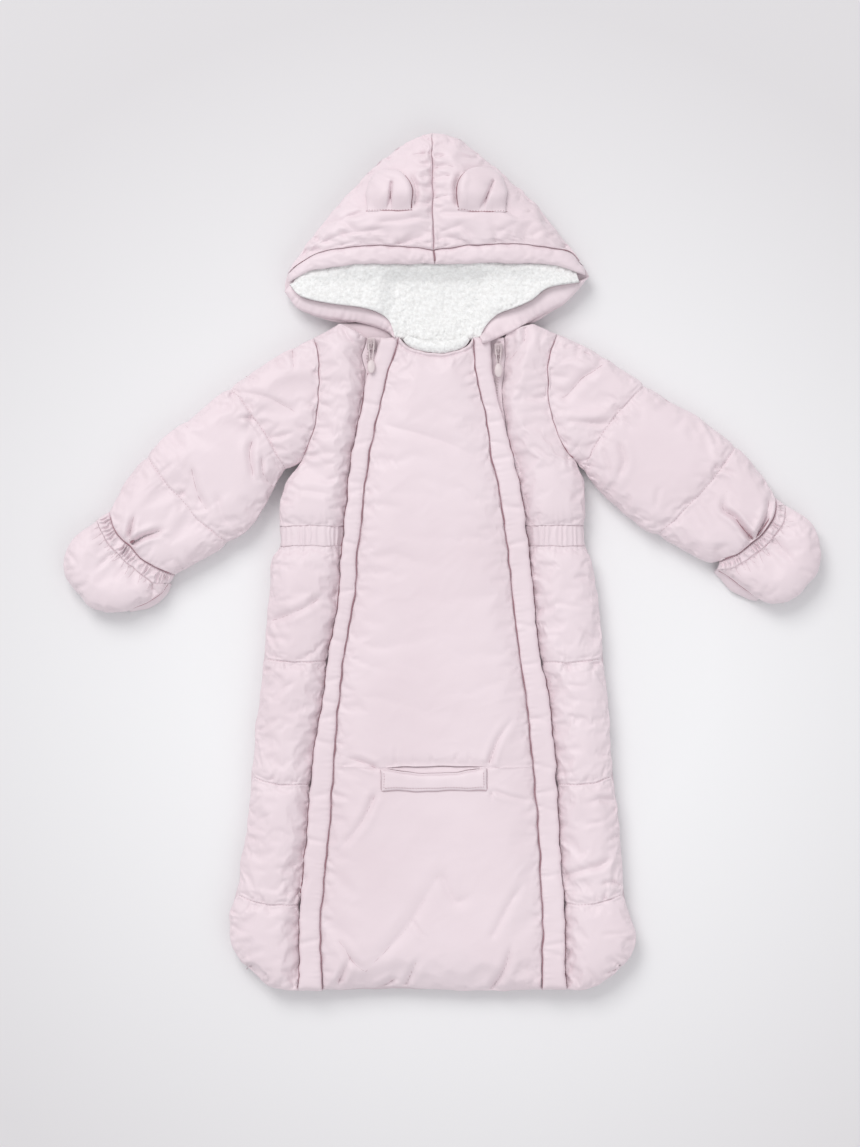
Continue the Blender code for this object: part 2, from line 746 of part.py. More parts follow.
def make_sleeve(side, cloth):
    rows = sleeve_rows()
    stations = np.array(SLEEVE_STATIONS[side], float)
    top = spaced(spline(SLEEVE_TOP[side]), np.interp(rows, stations[:, 0], stations[:, 1]))
    low = spaced(spline(SLEEVE_UNDER[side]), np.interp(rows, stations[:, 0], stations[:, 2]))
    armhole = spaced(spline(ARMHOLE[side]), ARMHOLE_ROWS) + np.array([OUTWARD[side] * 0.45, 0])
    cuff = spaced(spline(CUFF_INNER[side]), CUFF_SHARES)
    top[0], low[0], top[-1], low[-1] = armhole[0], armhole[-1], cuff[0], cuff[-1]
    plan = patch(armhole, cuff, top, low)
    seams = [plan[0], plan[-1]] + [plan[4 * (k + 1)] for k in range(len(SLEEVE_QUILTS))]
    pinch = np.minimum(sum(trough(away(plan, line), 20) for line in seams), 1)
    edge = from_long_edges(plan)
    face = EDGE_TOP - 1.5 + 15 * rise(edge, 34) * (1 - 0.5 * pinch) - folded(plan)
    under = EDGE_UNDER * (1 - rise(edge, ROUND_UNDER))
    outer, inner = tube_sections(plan, np.maximum(face, SLIT_HIGH + 0.8 + 2 * rise(edge, 20)), under,
                                 9, SLIT_LOW, SLIT_HIGH)
    flat_tube(f"sleeve_{side}", outer, inner, cloth)


def finer(line):
    """A line with more points on the same straight steps."""
    last = len(line) - 1
    at = np.arange(last * CUFF_COLUMNS + 1) / CUFF_COLUMNS
    return np.column_stack([np.interp(at, np.arange(last + 1), line[:, axis]) for axis in (0, 1)])


def make_cuff(side, trim):
    near, far = (finer(spaced(spline(line[side]), CUFF_SHARES)) for line in (CUFF_INNER, CUFF_OUTER))
    rows = np.array([0, 0.5, 1])
    plan = near[None] + (far - near)[None] * rows[:, None, None]
    gap = (far - near) / np.linalg.norm(far - near, axis=1, keepdims=True) * TUBE_GAP
    plan[0] += gap
    plan[-1] -= gap
    edge = from_long_edges(plan)
    wave = np.cos(np.pi * np.arange(len(near)))[None, :] * rise(edge, 12)
    crown = np.array([0, 2.0, 0])[:, None]
    face = EDGE_TOP - 1.5 + 7 * rise(edge, 22) + crown + CUFF_DEPTH * wave
    under = EDGE_UNDER * (1 - rise(edge, ROUND_UNDER))
    outer, inner = tube_sections(plan, face, under, 8, SLIT_LOW, SLIT_HIGH)
    flat_tube(f"cuff_{side}", outer, inner, trim)


def make_mitten(side, cloth):
    rows = np.array([0, 0.12, 0.3, 0.5, 0.7, 0.86, 0.96, 1])
    start = spaced(spline(CUFF_OUTER[side]), CUFF_SHARES)
    end = spaced(spline(MITTEN_END[side]), CUFF_SHARES)
    top = spaced(spline(MITTEN_TOP[side]), rows)
    low = spaced(spline(MITTEN_UNDER[side]), rows)
    plan = patch(start, end, top, low)
    step = plan[1] - plan[0]
    plan[0] += 2 * TUBE_GAP * step / np.linalg.norm(step, axis=1, keepdims=True)
    edge = np.minimum(from_long_edges(plan), away(plan, plan[-1]))
    seam = trough(away(plan, plan[0]), 18)
    face = EDGE_TOP - 1.5 + 16 * rise(edge, 30) * (1 - 0.45 * seam) - folded(plan)
    under = EDGE_UNDER * (1 - rise(edge, ROUND_UNDER))
    face = np.maximum(face, SLIT_HIGH + 0.8 + 2 * rise(edge, 12))
    outer, inner = tube_sections(plan, face, under, 8, SLIT_LOW, SLIT_HIGH)
    flat_tube(f"mitten_{side}", outer, inner[:6], cloth, blind=True)


def make_gusset(side, cloth):
    """The strip of the mitten's palm side that shows past its face."""
    edge = spaced(spline(MITTEN_UNDER[side]), np.linspace(0.1, 0.72, 7))
    along = np.gradient(edge, axis=0)
    along /= np.linalg.norm(along, axis=1, keepdims=True)
    outward = np.column_stack([along[:, 1], -along[:, 0]]) * OUTWARD[side]
    width = 7 * np.sin(np.pi * np.linspace(0.12, 0.88, 7))[:, None]
    plan = np.stack([edge + outward * 0.7, edge + outward * (0.7 + 0.5 * width),
                     edge + outward * (0.7 + width)], axis=1)
    face = np.tile([8.5, 7.5, 4.5], (7, 1))
    slab(f"gusset_{side}", plan, face, np.tile([0.0, 0.0, 1.5], (7, 1)), cloth)


# ---- the hood

FOLD_LINE = np.vstack([spline(HOOD_FOLD["left"])[::-1], spline(HOOD_FOLD["right"])[1:]])
HOOD_ARCH = 18.0
HOOD_PUFF = 7.0
HOOD_REACH = 70.0


def hood_split(side):
    """The hood's fold as two edges: the short one that closes the tip, and the long one below it."""
    fold = spline(HOOD_FOLD[side])
    tip = spaced(fold, HOOD_SHOULDER_SHARE * closer_at_ends(5))
    rest = HOOD_SHOULDER_SHARE + (1 - HOOD_SHOULDER_SHARE) * np.linspace(0, 1, 60)
    return tip[::-1], spaced(fold, rest)


def hood_arch(plan):
    return HOOD_ARCH * rise(away(plan, FOLD_LINE), HOOD_REACH)


def hood_under(plan):
    return FRONT_UNDER + hood_arch(plan)


def hood_face(plan, puff, reach):
    face = EDGE_TOP + 1 + 1.1 * hood_arch(plan) + puff * rise(away(plan, rim(plan)), reach)
    return face - folded(plan)


def centre_seam(y_from, y_to, shares):
    rows = y_from + (y_to - y_from) * np.asarray(shares)
    return np.column_stack([np.interp(rows, (230, 283, 310, 406), (2, 3, 1, 0)), rows])


def mirror_columns(side, plan):
    return plan if side == "left" else plan[:, ::-1]


def make_hood_front(side, cloth):
    tip, fold = hood_split(side)
    brim = spline(BRIM_SEAM[side])
    stop = np.argmin(np.linalg.norm(fold - brim[0], axis=1)) + 1
    rows = closer_at_ends(9)
    outer = spaced(np.vstack([fold[:stop - 1], brim[0]]), rows)
    middle = centre_seam(tip[-1, 1], brim[-1, 1], rows)
    across = closer_at_ends(7)
    head = spaced(tip, across)
    head[-1] = middle[0]
    foot = spaced(brim, across)
    foot[-1] = middle[-1]
    plan = mirror_columns(side, inset(patch(head, foot, outer, middle)))
    slab(f"hood_front_{side}", plan, hood_face(plan, HOOD_PUFF, 22), hood_under(plan), cloth)


def make_hood_brim(side, trim):
    across = closer_at_ends(7)
    head, foot = spaced(spline(BRIM_SEAM[side]), across), spaced(spline(BRIM_EDGE[side]), across)
    plan = inset(patch(head, foot, np.linspace(head[0], foot[0], 5), np.linspace(head[-1], foot[-1], 5)))
    plan = mirror_columns(side, plan)
    slab(f"hood_brim_{side}", plan, hood_face(plan, 5.5, 8), hood_under(plan) + 0.6, trim)


def make_hood_back(side, cloth):
    tip, fold = hood_split(side)
    rows = closer_at_ends(9)
    outer = spaced(fold, rows)
    middle = centre_seam(tip[-1, 1], NECK + SEAM_GAP, rows)
    foot_line = np.vstack([spline(HOOD_FOOT[side]), middle[-1]])
    foot_line[-2, 1] = NECK + SEAM_GAP
    across = closer_at_ends(7)
    head, foot = spaced(tip, across), spaced(foot_line, np.array([0, 0.1, 0.24, 0.36, 0.55, 0.75, 0.9, 1]))
    head[-1] = middle[0]
    plan = mirror_columns(side, inset(patch(head, foot, outer, middle)))
    edge = np.minimum(away(plan, FOLD_LINE), away(plan, spline(HOOD_FOOT[side])))
    under = EDGE_UNDER * (1 - rise(edge, ROUND_UNDER))
    slab(f"hood_back_{side}", plan, np.full(plan.shape[:2], BACK_TOP), under, cloth)


LINING_COLUMNS = 15
LINING_DRAWN_IN = 9.0   # lining's edge inside the hood's fold
LINING_ROOF = 40.0      # the front layer of the hood lies over it as far as this from the fold
HOOD_MIDDLE = np.array([0, 280.0])
CORNER_POINTS = 6       # points of the fold that lie beside a corner of the mouth
LINING_FOOT = ((-26, 224), (34, 224))
ROLL_RADIUS = 4.6
ROLL_HEIGHT = 26.5
ROLL_OUT = 5.2          # middle of the roll past the neckline
ROLL_SPAN = (0.13, 0.87)
ROLL_SIDES = 8
ROLL_ROWS = 13


def make_lining(fleece):
    """The fluffy inside of the hood, from the neckline up into the tip."""
    inner = {side: spline(BAND_INNER[side])[::-1] for side in SIDES}
    rows = closer_at_ends(8)
    left, right = spaced(inner["left"], rows), spaced(inner["right"], rows)
    left += 1.2
    right += np.array([-1.2, 1.2])
    left[0], right[0] = LINING_FOOT
    spokes = FOLD_LINE[CORNER_POINTS:-CORNER_POINTS] - HOOD_MIDDLE
    reach = np.linalg.norm(spokes, axis=1, keepdims=True)
    across = np.linspace(0, 1, LINING_COLUMNS)
    head = np.linspace(left[0], right[0], LINING_COLUMNS)
    arc = np.vstack([left[-1], HOOD_MIDDLE + spokes * (1 - LINING_DRAWN_IN / reach), right[-1]])
    plan = patch(head, spaced(arc, across), left, right)
    from_bands = np.minimum(away(plan, plan[:, 0]), away(plan, plan[:, -1]))
    near_band = np.exp(-(from_bands / 16) ** 2)
    roof = hood_under(plan) - 1.0
    face = FRONT_UNDER + 2 + 4.5 * rise(away(plan, rim(plan)), 12) + 3 * near_band
    covered = away(plan, FOLD_LINE) < LINING_ROOF
    face = np.where(covered, np.minimum(face, roof), face)
    slab("hood_lining", plan, face, np.full(plan.shape[:2], BACK_TOP + SEAM_GAP), fleece)


def make_band(side, trim):
    across = closer_at_ends(10)
    inner, outer = spaced(spline(BAND_INNER[side]), across), spaced(spline(BAND_OUTER[side]), across)
    shares = closer_at_ends(5)
    plan = inner[:, None] + (outer - inner)[:, None] * shares[None, :, None]
    carried = [f"{name}_{side}" for name in ("hood_back", "front_upper", "guard", "zip")]
    under = evened(lies_on(plan, carried + ["front_centre", "back"], 5))
    under[:2] = np.maximum(under[:2], BACK_TOP + REST_GAP)
    face = under + 3 + 8 * rise(away(plan, rim(plan)), 9)
    slab(f"hood_band_{side}", plan, face, under, trim)


def make_neck_roll(fleece):
    """The fluffy facing that turns over the front's neckline."""
    line = spline(NECKLINE)
    along = spaced(line, np.linspace(*ROLL_SPAN, ROLL_ROWS))
    heading = np.gradient(along, axis=0)
    heading /= np.linalg.norm(heading, axis=1, keepdims=True)
    sections = []
    for k, ((x, y), (dx, dy)) in enumerate(zip(along, heading)):
        radius = ROLL_RADIUS * (0.55 + 0.45 * math.sin(math.pi * k / (ROLL_ROWS - 1)))
        turns = np.arange(ROLL_SIDES) * 2 * math.pi / ROLL_SIDES
        out = ROLL_OUT + radius * np.cos(turns)
        sections.append(np.column_stack([x - dy * out, y + dx * out, ROLL_HEIGHT + radius * np.sin(turns)]))
    faces = []
    for first in range(0, (ROLL_ROWS - 1) * ROLL_SIDES, ROLL_SIDES):
        for k in range(ROLL_SIDES):
            n = (k + 1) % ROLL_SIDES
            faces.append((first + k, first + n, first + ROLL_SIDES + n, first + ROLL_SIDES + k))
    faces += [tuple(range(ROLL_SIDES)), tuple(range(first + ROLL_SIDES, first + 2 * ROLL_SIDES))]
    add_mesh("neck_roll", np.vstack(sections), faces, fleece)


def make_ear(side, cloth):
    left, right, base, height, pinch = EARS[side]
    middle, half = (left + right) / 2, (right - left) / 2
    shares = np.linspace(0, 1, 9)
    rows = np.linspace(0, 1, 8)
    plan = np.zeros((len(rows), len(shares), 2))
    for j, v in enumerate(rows):
        width = half * (1 + 0.12 * math.sin(math.pi * min(v * 1.3, 1))) * math.sqrt(max(1 - v ** 2.6, 0.02))
        for i, u in enumerate(shares):
            plan[j, i] = (middle + width * (2 * u - 1), base + height * v)
    plan[-1, :, 1] -= 0.6 * np.abs(2 * shares - 1)
    under = lies_on(plan, [f"hood_front_{side}"], 4)
    edge = away(plan, rim(plan))
    line = np.array([(pinch, base), (pinch + 1, base + 0.62 * height)], float)
    thick = 2.2 + 6 * rise(edge, 12) - 3.5 * trough(away(plan, line), 9) * rise(edge, 9)
    slab(f"ear_{side}", plan, under + thick, under, cloth)


# ---- sliders and pull tabs

SLIDERS = {
    # side: x and y of the pull's hinge, length of the pull
    "left": (-55.8, 211.0, 28.0),
    "right": (61.0, 206.0, 26.0),
}
SLIDER_SIZE = (7.6, 11.0, 3.6)
BAIL_WIRE = 0.7
BAIL_RISE = 2.9
CORD_RADIUS = 0.55
CORD_HALF = 2.3         # half the width of the cord loop at the hinge
HINGE_RISE = 1.35       # hinge above the slider's top
GRIP = (3.6, 6.5, 1.5)  # half width, half length, half thickness
PULL_SLOPE = math.radians(4)    # least slope of a pull that lies on the cloth


def tube_object(name, points, radius, material, cyclic=False):
    """A round wire along points in millimetres, made a mesh with its caps closed."""
    curve = bpy.data.curves.new(name, "CURVE")
    curve.dimensions = "3D"
    curve.bevel_depth = radius * MM
    curve.bevel_resolution = 2
    curve.use_fill_caps = not cyclic
    route = curve.splines.new("POLY")
    route.points.add(len(points) - 1)
    for knot, point in zip(route.points, points):
        knot.co = (*(value * MM for value in point), 1)
    route.use_cyclic_u = cyclic
    holder = bpy.data.objects.new(name, curve)
    collection.objects.link(holder)
    bpy.context.view_layer.update()
    mesh = bpy.data.meshes.new_from_object(holder.evaluated_get(bpy.context.evaluated_depsgraph_get()))
    bpy.data.objects.remove(holder)
    shape = bmesh.new()
    shape.from_mesh(mesh)
    bmesh.ops.remove_doubles(shape, verts=shape.verts, dist=0.00001)
    bmesh.ops.recalc_face_normals(shape, faces=shape.faces)
    shape.to_mesh(mesh)
    shape.free()
    mesh.materials.clear()
    mesh.materials.append(material)
    wire = bpy.data.objects.new(name, mesh)
    collection.objects.link(wire)
    return wire


def join_into(body, tool):
    """Fuses a helper into a body and takes the helper away."""
    union = body.modifiers.new("join", "BOOLEAN")
    union.operation = "UNION"
    union.solver = "EXACT"
    union.object = tool
    bpy.context.view_layer.update()
    mesh = bpy.data.meshes.new_from_object(body.evaluated_get(bpy.context.evaluated_depsgraph_get()))
    body.modifiers.clear()
    body.data = mesh
    bpy.data.objects.remove(tool)


def move_to_collection(piece):
    for holder in list(piece.users_collection):
        holder.objects.unlink(piece)
    collection.objects.link(piece)


def rounded_box(name, centre, size, bevel, material):
    bpy.ops.mesh.primitive_cube_add(size=1)
    block = bpy.context.object
    block.name = name
    move_to_collection(block)
    block.data.transform(Matrix.Diagonal((*(value * MM for value in size), 1)))
    block.data.transform(Matrix.Translation(Vector(centre) * MM))
    block.data.materials.append(material)
    soft = block.modifiers.new("soft", "BEVEL")
    soft.width = bevel * MM
    soft.segments = 2
    return block


def slider_top(side):
    """Height of the top of a slider on its zip."""
    x, y, _ = SLIDERS[side]
    spot = np.array([[(x + dx, y + dy) for dx in (-3, 0, 3)] for dy in (-5, 0, 5)], float)
    return lies_on(spot, [f"zip_{side}"], 2).max() + SLIDER_SIZE[2]


def make_slider(side, metal):
    x, y, _ = SLIDERS[side]
    top = slider_top(side)
    body = rounded_box(f"slider_{side}", (x, y, top - SLIDER_SIZE[2] / 2), SLIDER_SIZE, 0.8, metal)
    arch = [(x, y + 3.2 * math.cos(a), top - 0.7 + (BAIL_RISE + 0.7) * math.sin(a))
            for a in np.linspace(0, math.pi, 9)]
    join_into(body, tube_object(f"bail_{side}", arch, BAIL_WIRE, metal))


def make_pull(side, rubber):
    """Cord loop and grip, hinged in the slider's bail and laid towards the foot on the cloth."""
    x, y, length = SLIDERS[side]
    hinge_z = slider_top(side) + HINGE_RISE
    rows = np.linspace(5, length, 8)
    strip = np.array([[(x - GRIP[0], y - run), (x, y - run), (x + GRIP[0], y - run)] for run in rows])
    cloth_top = lies_on(strip, [f"front_upper_{side}", f"guard_{side}", f"zip_{side}"], 1.2)
    slope = max(math.atan2(height + GRIP[2] - hinge_z, run)
                for run, height in zip(rows, cloth_top.max(1)))
    slope = max(slope, PULL_SLOPE)
    knot = -(length - 2 * GRIP[1] + 2)
    left_arm = [(-1.0, knot, 0), (-CORD_HALF, -2.5, 0), (-CORD_HALF, 0, 0)]
    loop = left_arm + [(-x, y, z) for x, y, z in left_arm[::-1]]
    cord = tube_object(f"cord_{side}", loop, CORD_RADIUS, rubber, cyclic=True)
    bpy.ops.mesh.primitive_uv_sphere_add(segments=16, ring_count=8, radius=1)
    grip = bpy.context.object
    grip.name = f"pull_{side}"
    move_to_collection(grip)
    grip.data.transform(Matrix.Translation(Vector((0, -(length - GRIP[1]), 0)) * MM)
                        @ Matrix.Diagonal((*(value * MM for value in GRIP), 1)))
    grip.data.materials.append(rubber)
    join_into(grip, cord)
    hinge = Matrix.Translation(Vector((x, y, hinge_z)) * MM) @ Matrix.Rotation(-slope, 4, "X")
    grip.matrix_world = hinge


cloth = paint("quilted_cloth", CLOTH, 0.62)
trim = paint("trim_cloth", TRIM, 0.7)
fleece = paint("fleece", FLEECE, 0.95)
metal = paint("slider", METAL, 0.45, 0.6)
rubber = paint("grip", RUBBER, 0.55)

make_back(cloth)
make_front_centre(cloth)
for side in SIDES:
    make_front_upper(side, cloth)
    make_waist(side, trim)
    make_front_lower(side, cloth)
    make_zip(side, trim)
    make_guard(side, cloth)
    make_sleeve(side, cloth)
    make_cuff(side, trim)
    make_mitten(side, cloth)
    make_gusset(side, cloth)
    make_hood_front(side, cloth)
    make_hood_brim(side, trim)
    make_hood_back(side, cloth)
    make_band(side, trim)
    make_ear(side, cloth)
make_slot(cloth, trim)
make_lining(fleece)
make_neck_roll(fleece)
for side in SIDES:
    make_slider(side, metal)
    make_pull(side, rubber)
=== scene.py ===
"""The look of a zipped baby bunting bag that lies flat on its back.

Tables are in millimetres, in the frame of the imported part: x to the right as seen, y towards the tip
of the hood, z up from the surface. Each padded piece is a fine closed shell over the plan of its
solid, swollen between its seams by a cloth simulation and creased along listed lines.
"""
import math

import bpy
import numpy as np
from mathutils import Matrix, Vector
from mathutils.bvhtree import BVHTree


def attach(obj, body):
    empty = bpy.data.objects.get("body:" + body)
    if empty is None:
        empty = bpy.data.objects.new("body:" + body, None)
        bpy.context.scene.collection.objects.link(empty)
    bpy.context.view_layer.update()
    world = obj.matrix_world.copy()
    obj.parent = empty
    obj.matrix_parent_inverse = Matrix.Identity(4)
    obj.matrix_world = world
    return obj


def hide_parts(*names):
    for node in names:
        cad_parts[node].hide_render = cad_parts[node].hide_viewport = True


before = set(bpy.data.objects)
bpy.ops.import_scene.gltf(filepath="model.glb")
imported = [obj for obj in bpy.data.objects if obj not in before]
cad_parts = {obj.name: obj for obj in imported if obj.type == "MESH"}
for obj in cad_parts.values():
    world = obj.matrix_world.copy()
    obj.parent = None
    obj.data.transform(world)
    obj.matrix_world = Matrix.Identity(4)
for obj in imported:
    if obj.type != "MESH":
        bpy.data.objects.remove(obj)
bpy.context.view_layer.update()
MM = 0.001
BODY = "bag"

# ---- sizes

SEAM_GAP = 0.3
WAIST_TOP = 44.0
WAIST_FOOT = 25.0
NECK = 230.5
HEM_CORNER = -369.0
FOOT = -384.0
ZIP_TOP = 217.0
UNDERARM = 103.0

# heights of seams and undersides

BACK_TOP = 14.0
FRONT_UNDER = BACK_TOP + 0.25
UNDER = 14.3            # underside of the hood's top, the zips and the lining
SEAM_TOP = 14.6         # seam of front and back
BACK_UNDER = SEAM_TOP - 2.2
EDGE_UNDER = 12.4       # height of the underside at an outer seam
EDGE_ROUND = 13         # reach of the underside's round from there inwards
BACK_QUILT = 1.6        # depth of the quilting lines across the back
TUBE_SEAM = SEAM_TOP - 1.6      # seam of a sleeve, cuff or mitten
TUBE_UNDER = SEAM_TOP - 2.4     # the edge of its underside
TUBE_ROUND = 12

# rise of the seams from the outer edges inwards, each with its reach

LIFT = 9.4              # of the front wall
LIFT_REACH = 45.0
ZIP_DIP = 8.5           # how far the side fronts dip to the zip
ZIP_DIP_WIDTH = 9
ZIP_DIP_REACH = 35
SLEEVE_LIFT = 10
SLEEVE_LIFT_REACH = 30
MITTEN_LIFT = 9
MITTEN_LIFT_REACH = 26
HOOD_ARCH = 18.0
HOOD_REACH = 70.0
FOLD_RISE = 2.5         # what the hood's seams rise on top of that, close to its fold
FOLD_REACH = 12
BRIM_SINK = 1.2         # the brim lies this much lower than the hood's seams

# swell of the padded cloth over its seams, each with its reach

PUFF = 8.0
PUFF_REACH = 20
CENTRE_REACH = 30
SLEEVE_REACH = 18
MITTEN_PUFF = 9
MITTEN_REACH = 22
HOOD_PUFF = 6.0
HOOD_PUFF_REACH = 16
BRIM_PUFF = 5.0
BRIM_REACH = 7

# ---- outlines

BODY_SIDES = (
    # y, left edge x, right edge x
    (103, -120, 133),
    (82, -135, 140),
    (57, -141, 141),
    (43, -141, 139),
    (26, -140, 140),
    (14, -147, 146),
    (-8, -149, 150),
    (-40, -152, 155),
    (-78, -155, 158),
    (-117, -159, 162),
    (-159, -164, 165),
    (-194, -167, 168),
    (-227, -169, 172),
    (-268, -176, 175),
    (-294, -180, 177),
    (-318, -187, 183),
    (-335, -186, 188),
    (-350, -180, 184),
    (-369, -163, 169),
)

FRONT_LINES = (
    # y, left guard outer x, left guard inner x, right guard inner x, right guard outer x
    (226, -45, -28, 36, 54),
    (212, -49, -31, 38, 55),
    (183, -58, -41, 41, 57),
    (145, -65, -50, 49, 65),
    (107, -73, -58, 55, 74),
    (68, -77, -63, 63, 82),
    (20, -82, -68, 70, 88),
    (-18, -84, -71, 74, 92),
    (-67, -93, -79, 80, 97),
    (-119, -100, -86, 87, 107),
    (-159, -107, -89, 91, 111),
    (-190, -110, -91, 94, 113),
    (-227, -113, -94, 97, 115),
    (-282, -118, -99, 100, 119),
    (-323, -121, -103, 102, 121),
    (-384, -121, -101, 102, 122),
)

ZIP_VALLEY = (
    # y, width of the zip that shows beside the left guard, beside the right guard
    (226, 12, 12),
    (203, 11.5, 12),
    (185, 4, 9.5),
    (158, 0.8, 3),
    (130, 0.8, 0.8),
    (-384, 0.8, 0.8),
)

SHOULDER = {
    # side: neck end of the shoulder seam, armhole end
    "left": ((-86, 230), (-109, 216)),
    "right": ((93, 230), (115, 221)),
}

ARMHOLE = {
    "left": ((-109, 216), (-104, 200), (-104, 178), (-105, 150), (-110, 126), (-120, 103)),
    "right": ((115, 221), (107, 196), (106, 171), (110, 145), (119, 120), (133, 103)),
}

SLEEVE_TOP = {
    "left": ((-109, 216), (-137, 203), (-171, 182), (-189, 170), (-220, 145), (-237, 134),
             (-263, 108), (-282, 85), (-294, 64), (-298, 57)),
    "right": ((115, 221), (139, 210), (162, 197), (193, 176), (217, 160), (244, 145),
              (276, 121), (297, 100), (310, 82), (317, 70)),
}

SLEEVE_UNDER = {
    "left": ((-121, 102), (-136, 93), (-147, 76), (-157, 57), (-171, 39), (-190, 26),
             (-214, 11), (-237, -1)),
    "right": ((135, 101), (148, 82), (162, 68), (179, 53), (194, 41), (212, 33), (233, 20),
              (254, 10), (265, 12)),
}

SLEEVE_STATIONS = {
    # side: rows of share of the sleeve, share along its top edge, share along its under edge
    "left": ((0, 0, 0), (0.4, 0.36, 0.10), (0.75, 0.75, 0.64), (1, 1, 1)),
    "right": ((0, 0, 0), (0.4, 0.37, 0.06), (0.75, 0.76, 0.60), (1, 1, 1)),
}
SLEEVE_QUILTS = (0.4, 0.75)

CUFF_INNER = {
    "left": ((-298, 57), (-289, 37), (-277, 25), (-268, 14), (-255, 6), (-237, -1)),
    "right": ((317, 70), (314, 53), (305, 39), (295, 30), (282, 19), (265, 12)),
}

CUFF_OUTER = {
    "left": ((-309, 49), (-299, 30), (-286, 15), (-272, 3), (-258, -8), (-242, -9)),
    "right": ((325, 63), (323, 46), (311, 30), (297, 18), (281, 7), (262, 3)),
}

MITTEN_TOP = {
    "left": ((-309, 49), (-327, 35), (-337, 21), (-339, 9)),
    "right": ((325, 63), (345, 51), (355, 36), (359, 21)),
}

MITTEN_END = {
    "left": ((-339, 9), (-337, -4), (-327, -18), (-316, -30), (-300, -36)),
    "right": ((359, 21), (357, 5), (349, -8), (337, -20), (323, -27)),
}

MITTEN_UNDER = {
    "left": ((-242, -9), (-250, -19), (-268, -30), (-285, -35), (-300, -36)),
    "right": ((262, 3), (274, -4), (288, -15), (301, -24), (314, -28), (323, -27)),
}

QUILT_LINES = (
    # y at the zip, y at the side seam
    (-81, -78),
    (-194, -187),
    (-304, -295),
)

HOOD_FOLD = {
    # from the tip of the hood to the corner of its mouth
    "left": ((0, 406), (-24, 396), (-49, 377), (-74, 353), (-95, 329), (-116, 302), (-133, 276),
             (-136, 259)),
    "right": ((0, 406), (21, 401), (44, 385), (74, 359), (95, 340), (116, 314), (134, 291),
              (145, 274)),
}
HOOD_SHOULDER_SHARE = 0.16     # share of the fold that closes the tip

HOOD_FOOT = {
    # from the corner of the mouth to the shoulder seam
    "left": ((-136, 259), (-124, 245), (-104, 236), (-86, NECK)),
    "right": ((145, 274), (125, 251), (107, 239), (93, NECK)),
}

BRIM_SEAM = {
    "left": ((-133, 276), (-116, 288), (-93, 297), (-52, 300), (-23, 299), (2, 296)),
    "right": ((140, 283), (125, 296), (95, 300), (63, 302), (32, 300), (2, 296)),
}

BRIM_EDGE = {
    "left": ((-131, 268), (-119, 274), (-100, 279), (-73, 283), (-31, 283), (3, 283)),
    "right": ((141, 274), (122, 280), (106, 283), (74, 284), (32, 284), (3, 283)),
}

BAND_INNER = {
    "left": ((-130, 267), (-119, 256), (-95, 250), (-65, 246), (-48, 241), (-38, 233), (-33, 219)),
    "right": ((134, 269), (106, 264), (91, 253), (76, 246), (60, 240), (49, 230), (43, 219)),
}

BAND_OUTER = {
    "left": ((-136, 259), (-124, 245), (-103, 237), (-80, 232), (-60, 229), (-42, 223), (-33, 215)),
    "right": ((145, 274), (125, 251), (101, 238), (88, 231), (74, 223), (60, 216), (47, 211)),
}

HEM = ((149, -380), (127, FOOT), (60, FOOT + 1), (0, FOOT))    # from the corner inwards, on both sides
CENTRE_FOOT = ((-38, -381), (0, FOOT), (60, -384))
NECK_BEND = (72, 224)   # place on the neck seam between the shoulder and the zip, on both sides
HOOD_CENTRE = ((230, 2), (283, 3), (310, 1), (406, 0))     # y and x of the hood's centre seam
NECKLINE = ((-30, 217), (-22, 209), (-10, 205), (7, 203), (20, 205), (31, 209), (38, 217))

EARS = {
    # side: base left x, base right x, base y, height, x of the pinch
    "left": (-60, -19, 333, 40, -39),
    "right": (24, 68, 333, 43, 46),
}

SLOT = {"left": -47, "right": 50, "y": -178, "lens": 8.0, "welt": 21.0}

